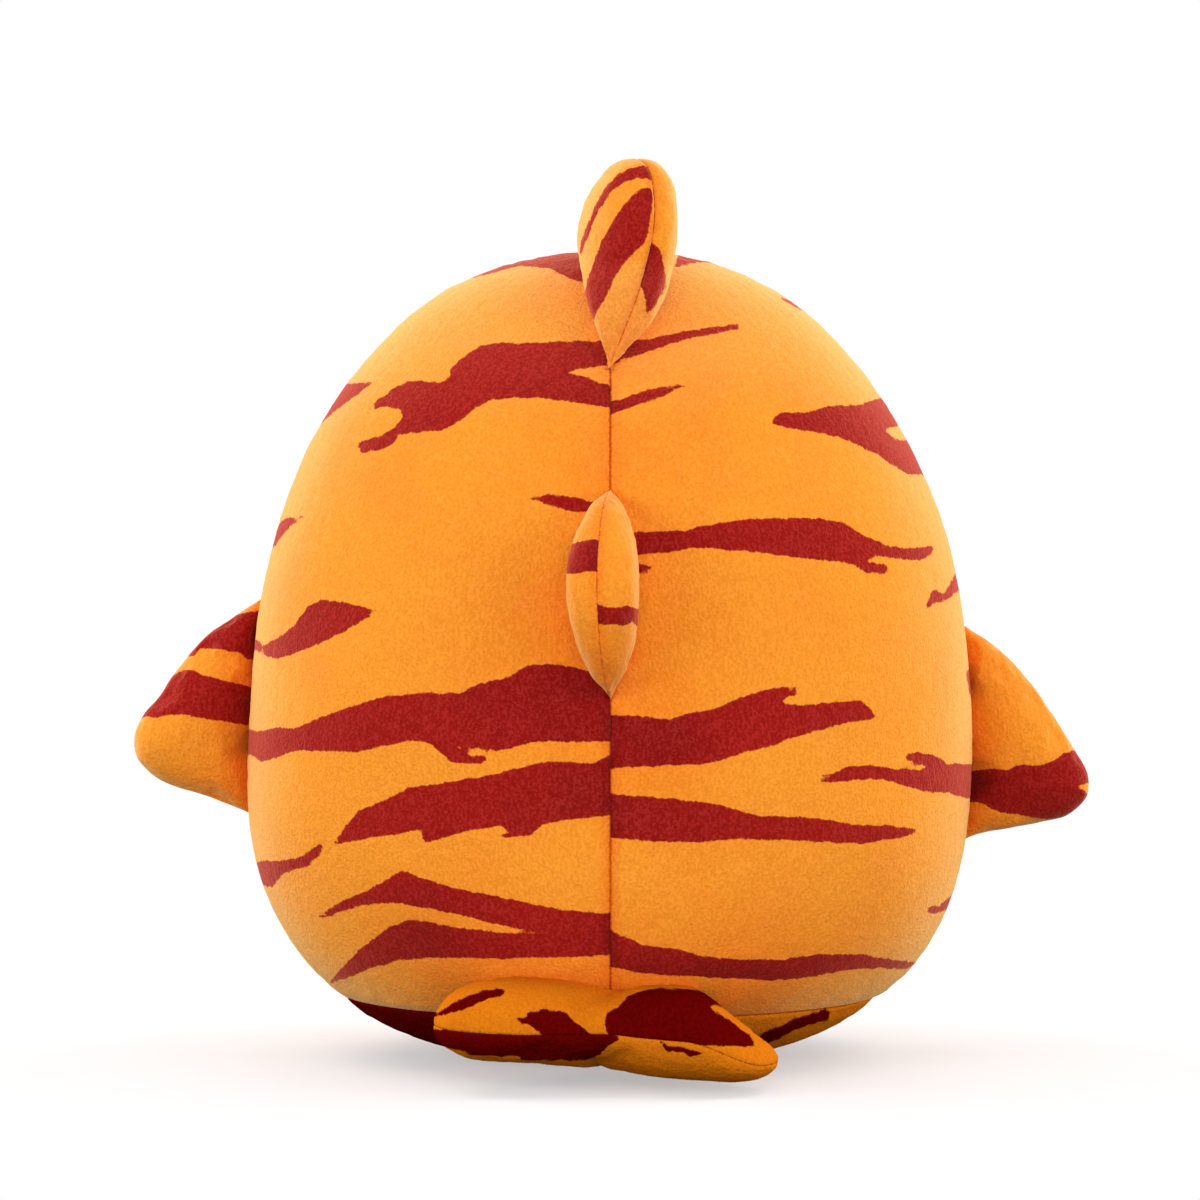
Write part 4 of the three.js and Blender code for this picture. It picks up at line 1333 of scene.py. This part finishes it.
class Fin:
    """A padded fin: two covers that meet in the seam round its edge, pinched at its root."""

    COLUMNS, ROWS, CROWDING = 110, 64, 0.3
    LINE_POINTS = 160
    # How far in from root and edge the fin is full, in half thicknesses, and how steeply it swells
    ROOT_REACH, ROOT_SWELL = 1.2, 0.8
    EDGE_REACH, EDGE_SWELL = 1.4, 0.5
    # Share of the thickness at the root's ends, and how slowly it grows from there
    BLUNT_END, TAPER = 0.22, 0.0
    # Share of the tuck by which the root's ends reach further, and the pile's height on the edge's seam
    END_TUCK, SEAM_PILE = 1.0, 0.0007
    SEAM_PULL = 0.3
    # Share of the padding that a cover's wall may fill, and its thinnest share of the cloth
    WALL_ROOM, THINNEST_WALL = 0.9, 0.03
    FILL = 0.8
    BLEND_REACH = 0.020
    # The simulated grid, what it leaves out at both ends, where its moves fade and what they are cut to
    PAD_COLUMNS, PAD_ROWS = 60, 36
    PAD_MARGIN, PAD_FADE, MOST_MOVED = 0.03, 0.24, 0.0024
    # With more painted shade than this, a fin has the plush without sheen
    MOST_PAINTED_SHADE_WITH_SHEEN = 0.5

    def __init__(self, name, plane, root, edge, thickness, twist=0.0, painted_shade=0.0):
        self.name = name
        self.plane = plane
        self.thickness = thickness
        self.twist = twist
        self.painted_shade = painted_shade
        self.finish = "tiger_plush_painted_shade" if painted_shade > self.MOST_PAINTED_SHADE_WITH_SHEEN else "tiger_plush"
        self.root_middle = np.asarray(root).mean(0)
        tuck = settings().fins.tuck
        flat_root = plane.flat(root) - np.array((0, tuck))
        flat_root[0, 0] -= self.END_TUCK * tuck
        flat_root[-1, 0] += self.END_TUCK * tuck
        self.edge = curve_through([flat_root[0], *edge, flat_root[-1]], self.LINE_POINTS)
        ahead = np.gradient(self.edge, axis=0)
        off_edge = np.column_stack((-ahead[:, 1], ahead[:, 0])) / np.linalg.norm(ahead, axis=1)[:, None]
        self.edge[1:-1] += self.SEAM_PILE * off_edge[1:-1]
        self.root = evenly(flat_root, self.LINE_POINTS)
        self.reach = self.edge[:, 1].max()

    def swell(self, distance, reach, power):
        remaining = np.clip(1 - distance / (reach * self.thickness / 2), 0, 1)
        return (1 - remaining**2) ** power

    def tapered(self, along):
        """Share of the thickness at a place along the root"""
        start, end = self.root[0, 0], self.root[-1, 0]
        way = np.sin(math.pi * np.clip((along - start) / (end - start), 0, 1)).clip(0)
        return self.BLUNT_END + (1 - self.BLUNT_END) * way**self.TAPER

    def turned(self, points, share):
        """Twists the fin about its own outward axis, more towards its tip"""
        angle = (self.twist * np.clip(share, 0, 1))[:, None]
        away = points - self.root_middle
        lift = (away @ self.plane.out)[:, None] * self.plane.out
        level = away - lift
        turned = level * np.cos(angle) + np.cross(self.plane.out, level) * np.sin(angle)
        return self.root_middle + lift + turned

    def set_lobes(self, x, through):
        """Rise of points that lie x from the middle and so far through the fin"""
        return 0.0

    def cover_points(self, across, up, sign):
        """One side's points and its wall, for shares along the root and from root to edge"""
        stops = np.linspace(0, 1, self.LINE_POINTS)
        share = crowded_ends(across, self.CROWDING)
        way = (1 - np.cos(math.pi * up)) / 2
        root, edge = at_shares(self.root, share, stops), at_shares(self.edge, share, stops)
        flat = root + (edge - root) * way[:, None]
        from_root, from_edge = nearest_on(flat, self.root), nearest_on(flat, self.edge)
        height = self.thickness / 2 * self.swell(from_root, self.ROOT_REACH, self.ROOT_SWELL)
        height = height * self.swell(from_edge, self.EDGE_REACH, self.EDGE_SWELL)
        height = height * self.tapered(flat[:, 0])
        points = self.plane.solid(flat[:, 0], flat[:, 1], sign * height)
        points = self.turned(points, flat[:, 1] / self.reach)
        points[:, 2] += self.set_lobes(points[:, 0], sign * height)
        wall = np.clip(self.WALL_ROOM * height / settings().cloth.thickness, self.THINNEST_WALL, 1)
        return points, wall

    def padding(self, sign):
        """How far cloth simulation moves each corner of a coarse grid over one cover"""
        piece, across, up = grid_cloth(f"{self.name}_padding", self.PAD_COLUMNS, self.PAD_ROWS)
        within = self.PAD_MARGIN + (1 - 2 * self.PAD_MARGIN) * across
        points, _ = self.cover_points(within, up, sign)
        set_points(piece, points)
        face_outwards(piece, self.plane.through * sign)
        moved = simulate(piece, at_ends(across) | at_ends(up)) - points
        bpy.data.objects.remove(piece)
        length = np.linalg.norm(moved, axis=1)
        moved *= np.minimum(1, self.MOST_MOVED / np.maximum(length, TINY))[:, None]
        return moved[np.lexsort((across, up))].reshape(self.PAD_ROWS + 1, self.PAD_COLUMNS + 1, 3)

    def padded(self, across, up, sign):
        """The simulated moves at a cover's own corners"""
        moves = self.padding(sign)
        column = np.clip((across - self.PAD_MARGIN) / (1 - 2 * self.PAD_MARGIN), 0, 1) * self.PAD_COLUMNS
        row = up * self.PAD_ROWS
        left = np.minimum(column.astype(int), self.PAD_COLUMNS - 1)
        low = np.minimum(row.astype(int), self.PAD_ROWS - 1)
        over, rise = (column - left)[:, None], (row - low)[:, None]
        below = moves[low, left] * (1 - over) + moves[low, left + 1] * over
        above = moves[low + 1, left] * (1 - over) + moves[low + 1, left + 1] * over
        to_seam = np.minimum(np.minimum(up, 1 - up), np.minimum(across, 1 - across))
        kept = eased(np.clip(to_seam / self.PAD_FADE, 0, 1))
        return (below * (1 - rise) + above * rise) * kept[:, None]

    def sew(self, faces, seed):
        """faces: name of each cover, its sign through the plane, its stripes"""
        nodes = [f"{self.name}_stuffing"]
        for index, (face, sign, stripes) in enumerate(faces):
            piece, across, up = grid_cloth(f"{self.name}_cover_{face}", self.COLUMNS, self.ROWS)
            points, wall = self.cover_points(across, up, sign)
            points += self.padded(across, up, sign)
            outwards = self.plane.through * sign
            sew(
                piece, points, at_ends(up), back_stripes(stripes), lambda shut, to=outwards: to, seed + index,
                self.finish, [f"{self.name}_{face}_panel", *nodes], wall=wall, drawn_in=self.SEAM_PULL,
                covered=settings().cloth.seam_cover, painted_shade=self.painted_shade,
            )
            nodes = []
            end = self.root_middle + self.plane.out * self.BLEND_REACH
            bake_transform(piece)


class DorsalFin(Fin):
    EDGE_REACH = 2.05
    SEAM_PULL = 1.2


class RearDorsalFin(Fin):
    ROOT_REACH, EDGE_REACH = 0.85, 0.9
    TAPER = 0.85
    END_TUCK = 0.0


class SHARK_OT_dorsal_fins(bpy.types.Operator):
    """Sews the two dorsal fins on the centre back seam"""

    bl_idname = "shark.dorsal_fins"
    bl_label = "Dorsal fins"

    # Each fin's covers with their sign and stripes, and its seed
    FACES = (("right", 1, DORSAL_RIGHT_STRIPES), ("left", -1, DORSAL_LEFT_STRIPES))
    REAR_FACES = (("right", 1, REAR_DORSAL_RIGHT_STRIPES), ("left", -1, REAR_DORSAL_LEFT_STRIPES))
    SEED, REAR_SEED = 31, 35
    # Painted shade on the second dorsal fin
    REAR_PAINTED_SHADE = 0.1

    def execute(self, context):
        skin, fins = Skin(settings().body), settings().fins
        root = dorsal_root(skin)
        plane = Plane(root[0], root[-1] - root[0], (0, 0, 1), fins.dorsal_lean)
        fin = DorsalFin(
            "dorsal_fin", plane, root, DORSAL_EDGE, fins.dorsal_thickness, twist=fins.dorsal_twist
        )
        fin.sew(self.FACES, self.SEED)
        root = rear_dorsal_root(skin)
        plane = Plane(root[0], root[-1] - root[0], (0, -1, 0), fins.rear_dorsal_lean)
        fin = RearDorsalFin(
            "rear_dorsal_fin", plane, root, REAR_DORSAL_EDGE, fins.rear_dorsal_thickness, painted_shade=self.REAR_PAINTED_SHADE
        )
        fin.sew(self.REAR_FACES, self.REAR_SEED)
        return {"FINISHED"}


class SHARK_OT_pectoral_fins(bpy.types.Operator):
    """Sews the two pectoral fins in the side seams"""

    bl_idname = "shark.pectoral_fins"
    bl_label = "Pectoral fins"

    # Side, its sign, the fin's edge and stripes, its painted shade and its seed
    SIDES = (
        ("left", -1, LEFT_PECTORAL_EDGE, PECTORAL_LEFT_STRIPES, 0.0, 41),
        ("right", 1, RIGHT_PECTORAL_EDGE, PECTORAL_RIGHT_STRIPES, 0.2, 45),
    )

    def execute(self, context):
        skin, thickness = Skin(settings().body), settings().fins.pectoral_thickness
        for side, sign, edge, stripes, painted_shade, seed in self.SIDES:
            root = pectoral_root(skin, sign)
            plane = Plane(root[0], root[-1] - root[0], (sign, 0, 0))
            fin = Fin(f"{side}_pectoral_fin", plane, root, edge, thickness, painted_shade=painted_shade)
            fin.sew((("back", -sign, stripes), ("front", sign, stripes)), seed)
        return {"FINISHED"}


class TailFin(Fin):
    COLUMNS = 190
    # The right lobe starts to hang at the first of these, and hangs fully at the second
    HANGING = (0.028, 0.060)
    # The root's share over which the left lobe grows slack, and that of the notch
    SLACK_REACH, NOTCH_REACH = 1 / 3, 1 / 6

    def set_lobes(self, x, through):
        """The right lobe tapers and hangs, the left one is slack below, and the notch is pinched"""
        fins = settings().fins
        half = fins.tail_thickness / 2
        below, above = np.clip(through / half, 0, 1), np.clip(-through / half, 0, 1)
        start, end = self.HANGING
        right = eased(np.clip((x - start) / (end - start), 0, 1))
        left = np.clip(-x / (fins.tail_root * self.SLACK_REACH), 0, 1)
        notch = np.exp(-((x / (fins.tail_root * self.NOTCH_REACH)) ** 2))
        hang = right * (fins.tail_sag + fins.tail_taper * half * (above - below))
        return left * fins.tail_slack * below - hang + notch * fins.tail_pinch * (below - above)


class SHARK_OT_tail_fin(bpy.types.Operator):
    """Sews the two-lobed tail fin in the base seam"""

    bl_idname = "shark.tail_fin"
    bl_label = "Tail fin"

    SEED = 51
    # Painted shade over the whole tail
    PAINTED_SHADE = 1.0

    def execute(self, context):
        fins, size = settings().fins, settings().body
        half = fins.tail_root / 2
        root = tail_root(Skin(size))
        along = np.array((math.cos(fins.tail_roll), 0.0, -math.sin(fins.tail_roll)))
        start = np.array((-fins.tail_shift, root[0][1], size.base_seam)) - along * half
        plane = Plane(start, along, (0, -1, 0))
        mirrored = [(fins.tail_root - x, out) for x, out in reversed(TAIL_LOBE)]
        edge = [*TAIL_LOBE, (half, fins.tail_notch), *mirrored]
        fin = TailFin("tail_fin", plane, root, edge, fins.tail_thickness, painted_shade=self.PAINTED_SHADE)
        fin.sew((("lower", 1, TAIL_LOWER_STRIPES), ("upper", -1, TAIL_UPPER_STRIPES)), self.SEED)
        return {"FINISHED"}


# Face

FORWARD = np.array((0.0, 1.0, 0.0))
# How far in front of the axis the rays start that find the cloth
IN_FRONT = 0.4


def on_front(x, z, lift):
    """Points on the sewn front, lifted off the cloth"""
    covers = [bpy.data.objects["cover_face"], bpy.data.objects["cover_belly"]]
    places = []
    for across, height, rise in zip(x, z, lift):
        best = None
        for cover in covers:
            hit, place, normal, _ = cover.ray_cast(Vector((across, IN_FRONT, height)), Vector(-FORWARD))
            if hit and place.y > 0 and (best is None or place.y > best[0].y):
                best = (place, normal)
        if best is None:
            raise RuntimeError("the face lies off the front of the body")
        places.append(best[0] + best[1] * rise)
    return np.array(places)


# Satin stitch: grid steps for each stitch, and how fast the stitches' ends vary
STEPS_PER_STITCH = 4
STITCH_WAVE = 2.4


def uneven_ends(rows, share):
    return 1 + share * np.sin(STITCH_WAVE * np.round(rows))


def stitched(piece, points, rows, finish, nodes):
    """Makes a grid into a finished piece of embroidery"""
    set_points(piece, points)
    set_attribute(piece, "stitch", rows)
    close_doubles(piece, 2 * SAME_PLACE)
    face_outwards(piece, FORWARD)
    thicken(piece, settings().face.thread / 2)
    finish_piece(piece, finish, nodes)
    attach(piece, "body")


class SHARK_OT_eyes(bpy.types.Operator):
    """Embroiders the eyes"""

    bl_idname = "shark.eyes"
    bl_label = "Eyes"

    COLUMNS = 36
    # Each part, how far its rim is lifted off the cloth, and its thread
    PARTS = (("iris", 0.0003, "amber_thread"), ("pupil", 0.0013, "black_thread"))
    UNEVEN = 0.03

    def execute(self, context):
        for side, sign in (("left", -1), ("right", 1)):
            for part, base, finish in self.PARTS:
                self.embroider(side, sign, part, base, finish)
        return {"FINISHED"}

    def embroider(self, side, sign, part, base, finish):
        """Level rows of satin stitch, each a little longer or shorter than the next"""
        face = settings().face
        width, height = getattr(face, f"{part}_width"), getattr(face, f"{part}_height")
        rows_up = STEPS_PER_STITCH * round(height / face.stitch)
        piece, across, up = grid_cloth(f"eye_{part}_{side}", self.COLUMNS, rows_up)
        rise = np.sin(math.pi * (up - 0.5))
        rows = rise * height / 2 / face.stitch
        out = 2 * across - 1
        reach = width / 2 * uneven_ends(rows, self.UNEVEN) * np.sqrt(np.clip(1 - rise**2, 0, 1))
        x = sign * face.eye_apart / 2 + out * reach
        z = settings().body.equator + face.eye_up + rise * height / 2
        crown = np.sqrt(np.clip(1 - out**4, 0, 1) * np.clip(1 - rise**4, 0, 1))
        lift = base + crown * (face.thread + face.ridge * np.cos(2 * math.pi * rows))
        stitched(piece, on_front(x, z, lift), rows + 0.5, finish, (f"{side}_eye_{part}",))


# Lines: rows of the grid, how uneven the edges are, the thinnest end and the lift of the edges
LINE_ROWS, LINE_UNEVEN = 12, 0.05
THINNEST_END, LINE_BASE = 0.02, 0.0001


def embroider_arc(name, centre, radius, half_angle, width, nodes, middle=0.0):
    """A raised line of slanted stitches along an arc; middle is its middle's angle from straight down"""
    face = settings().face
    length = 2 * radius * half_angle
    piece, across, up = grid_cloth(name, STEPS_PER_STITCH * round(length / face.stitch), LINE_ROWS)
    angle = middle + half_angle * (2 * across - 1)
    from_end = np.minimum(across, 1 - across) * length
    short = np.clip(1 - from_end / (width / 2), 0, 1)
    rounding = np.sqrt(np.clip(1 - short**2, THINNEST_END**2, 1))
    side = np.cos(math.pi * up)
    rows = (across * length + side * width / 4) / face.stitch
    reach = radius + side * width / 2 * rounding * uneven_ends(rows, LINE_UNEVEN)
    x, z = centre[0] + reach * np.sin(angle), centre[1] - reach * np.cos(angle)
    crown = np.sqrt(np.clip(1 - side**2, 0, 1)) * rounding
    lift = LINE_BASE + crown * (face.thread + face.ridge * np.cos(2 * math.pi * rows))
    stitched(piece, on_front(x, z, lift), rows + 0.5, "maroon_thread", nodes)


class SHARK_OT_mouth(bpy.types.Operator):
    """Embroiders the mouth and sews on the felt teeth"""

    bl_idname = "shark.mouth"
    bl_label = "Mouth and teeth"

    TEETH = 8
    COLUMNS_PER_TOOTH, ROWS = 12, 14
    TOOTH_POINT = 1.2
    # How far the felt reaches under the mouth's line, and its face's height over the cloth
    UNDER_LINE, LIFT = 0.0004, 0.0012

    def execute(self, context):
        face = settings().face
        centre = settings().body.equator + face.mouth_up + face.mouth_radius
        embroider_arc(
            "mouth_stitching", (0.0, centre), face.mouth_radius, face.mouth_half_angle, face.mouth_line,
            ("mouth_line",),
        )
        self.sew_teeth(face, centre)
        return {"FINISHED"}

    def sew_teeth(self, face, centre):
        piece, across, up = grid_cloth("felt_tooth_strip", self.TEETH * self.COLUMNS_PER_TOOTH, self.ROWS)
        angle = face.teeth_half_angle * (2 * across - 1)
        saw = 1 - np.abs(2 * ((across * self.TEETH) % 1) - 1)
        gum = face.mouth_radius + face.mouth_line / 2 - self.UNDER_LINE
        deep = face.tooth_strip + face.tooth_drop * np.sin(math.pi / 2 * saw) ** self.TOOTH_POINT
        radius = gum + deep * up
        x, z = radius * np.sin(angle), centre - radius * np.cos(angle)
        set_points(piece, on_front(x, z, np.full(len(x), self.LIFT)))
        face_outwards(piece, FORWARD)
        thicken(piece, face.tooth_felt)
        finish_piece(piece, "white_felt", ("felt_teeth",))
        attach(piece, "body")


class SHARK_OT_gills(bpy.types.Operator):
    """Embroiders three gill slits on each side"""

    bl_idname = "shark.gills"
    bl_label = "Gill slits"

    COUNT = 3

    def execute(self, context):
        face, size = settings().face, settings().body
        half = face.gill_length / 2 / face.gill_bend
        first = size.width / 2 - face.gill_from_side
        for side, sign in (("left", -1), ("right", 1)):
            for index in range(self.COUNT):
                x = sign * (first + index * face.gill_pitch - face.gill_bend)
                embroider_arc(
                    f"gill_{side}_{index + 1}", (x, size.equator + face.gill_up), face.gill_bend, half,
                    face.gill_line, (f"{side}_gill_slit_{index + 1}",), middle=sign * math.pi / 2,
                )
        return {"FINISHED"}


# Stage


class SHARK_OT_stage(bpy.types.Operator):
    """Lays the floor, hangs the lamps and places the camera at the photograph's angle"""

    bl_idname = "shark.stage"
    bl_label = "Stage"

    FLOOR_RADIUS, FLOOR_SIDES = 0.9, 96
    # The floor's colour as the camera sees it, and as it throws light back
    FLOOR, FLOOR_TO_LIGHT = (0.97, 0.97, 0.97), (0.12, 0.12, 0.12)
    # The floor is clearest beyond the second of these, and keeps this share of clearness within the first
    CLEAR_RANGE, LEAST_CLEAR = (0.08, 0.42), 0.4
    # The sky's light, from below the floor's level to above it, and its share below
    SKY_RANGE, LEAST_SKY = (-0.3, 0.15), 0.45
    WHITE = (1, 1, 1, 1)
    # Place and size of the lamps, mirrored from side to side and from end to end
    SIDE_FILL, SIDE_FILL_SIZE = (1.8, 1.3, 0.42), 1.4
    END_FILL, END_FILL_SIZE, END_FILL_SHARE = (0.0, 2.3, 0.60), 1.5, 0.7
    KEY, KEY_SIZE = (1.2, 0.35, 1.75), 1.2
    LIT_POINT = (0, 0, 0.16)
    SIGHT = 20

    def execute(self, context):
        self.lay_floor()
        self.light_sky(context.scene)
        stage = settings().stage
        sides = (("left", -1), ("right", 1))
        for end, y in (("rear", -1), ("front", 1)):
            end_power = self.END_FILL_SHARE * stage.fill
            self.hang_lamp(f"fill_{end}", self.END_FILL, (1, y), self.END_FILL_SIZE, end_power)
            for side, x in sides:
                self.hang_lamp(f"fill_{end}_{side}", self.SIDE_FILL, (x, y), self.SIDE_FILL_SIZE, stage.fill)
        for side, x in sides:
            self.hang_lamp(f"key_{side}", self.KEY, (x, 1), self.KEY_SIZE, stage.key)
        self.place_camera(context.scene)
        context.scene.view_settings.view_transform = "Standard"
        return {"FINISHED"}

    def lay_floor(self):
        """A white floor that keeps the shark's shadow and fades out round it"""
        bpy.ops.object.select_all(action="DESELECT")
        bpy.ops.mesh.primitive_circle_add(
            vertices=self.FLOOR_SIDES, radius=self.FLOOR_RADIUS, fill_type="NGON", location=(0, 0, 0)
        )
        floor = bpy.context.object
        floor.name = "floor"
        net = new_material("floor_white")
        where = net.coordinates()
        away = net.add("ShaderNodeVectorMath", {"operation": "LENGTH"}, {0: where}, output="Value")
        clearness = net.step(away, *self.CLEAR_RANGE) * (1 - self.LEAST_CLEAR) + self.LEAST_CLEAR
        seen = net.add("ShaderNodeLightPath", output="Is Camera Ray")
        colour = net.mix(seen, self.FLOOR_TO_LIGHT, self.FLOOR)
        white = net.add("ShaderNodeBsdfDiffuse", inputs={"Color": colour})
        clear = net.add("ShaderNodeBsdfTransparent")
        mixed = net.add("ShaderNodeMixShader", inputs={0: clearness, 1: white, 2: clear})
        floor.data.materials.append(net.show(mixed))

    def light_sky(self, scene):
        """White where it is seen; as a light, dim below the floor's level"""
        net = Net(bpy.data.worlds.new("studio"))
        rays = ("Camera", "Glossy", "Transmission")
        camera, glossy, transmission = (
            net.add("ShaderNodeLightPath", output=f"Is {ray} Ray") for ray in rays
        )
        seen = camera.maths("MAXIMUM", glossy).maths("MAXIMUM", transmission)
        height = net.height_of(net.add("ShaderNodeTexCoord", output="Generated"))
        risen = net.step(height, *self.SKY_RANGE) * (1 - self.LEAST_SKY) + self.LEAST_SKY
        strength = risen * settings().stage.sky
        light = net.add("ShaderNodeBackground", inputs={"Color": self.WHITE, "Strength": strength})
        white = net.add("ShaderNodeBackground", inputs={"Color": self.WHITE})
        sky = net.add("ShaderNodeMixShader", inputs={0: seen, 1: light, 2: white})
        scene.world = net.show(sky, "ShaderNodeOutputWorld")

    def hang_lamp(self, name, place, signs, size, power):
        place = Vector((place[0] * signs[0], place[1] * signs[1], place[2]))
        bpy.ops.object.light_add(type="AREA", location=place)
        lamp = bpy.context.object
        lamp.name = name
        lamp.data.shape = "DISK"
        lamp.data.size = size
        lamp.data.energy = power
        lamp.rotation_euler = (Vector(self.LIT_POINT) - place).to_track_quat("-Z", "Y").to_euler()

    def place_camera(self, scene):
        place, _, _, forward = photo_camera()
        bpy.ops.object.camera_add(location=tuple(place))
        camera = bpy.context.object
        camera.name = "photo_camera"
        camera.rotation_euler = Vector(forward).to_track_quat("-Z", "Y").to_euler()
        camera.data.sensor_width = SENSOR
        camera.data.lens = SENSOR * PHOTO_DISTANCE / (PHOTO_PIXELS * PIXEL)
        camera.data.clip_end = self.SIGHT
        scene.camera = camera


class SHARK_PT_sewing(bpy.types.Panel):
    """Lists the shark's steps and settings in the sidebar"""

    bl_idname = "SHARK_PT_sewing"
    bl_label = "Stuffed tiger shark"
    bl_space_type = "VIEW_3D"
    bl_region_type = "UI"
    bl_category = "Shark"

    def draw(self, context):
        for operator in OPERATORS:
            self.layout.operator(operator.bl_idname)
        for group in (settings().body, settings().cloth, settings().fins, settings().face, settings().stage):
            box = self.layout.box()
            for name in group.__annotations__:
                box.prop(group, name)


OPERATORS = (
    SHARK_OT_back,
    SHARK_OT_front,
    SHARK_OT_dorsal_fins,
    SHARK_OT_pectoral_fins,
    SHARK_OT_tail_fin,
    SHARK_OT_eyes,
    SHARK_OT_mouth,
    SHARK_OT_gills,
    SHARK_OT_stage,
)
GROUPS = (SharkBody, SharkCloth, SharkFins, SharkFace, SharkStage, SharkSettings)


def register():
    for kind in (*GROUPS, *OPERATORS, SHARK_PT_sewing):
        bpy.utils.register_class(kind)
    bpy.types.Scene.shark = PointerProperty(type=SharkSettings)


def unregister():
    del bpy.types.Scene.shark
    for kind in reversed((*GROUPS, *OPERATORS, SHARK_PT_sewing)):
        bpy.utils.unregister_class(kind)


def main():
    register()
    bpy.ops.shark.back()
    bpy.ops.shark.front()
    bpy.ops.shark.dorsal_fins()
    bpy.ops.shark.pectoral_fins()
    bpy.ops.shark.tail_fin()
    bpy.ops.shark.eyes()
    bpy.ops.shark.mouth()
    bpy.ops.shark.gills()
    bpy.ops.shark.stage()


if __name__ == "__main__":
    main()
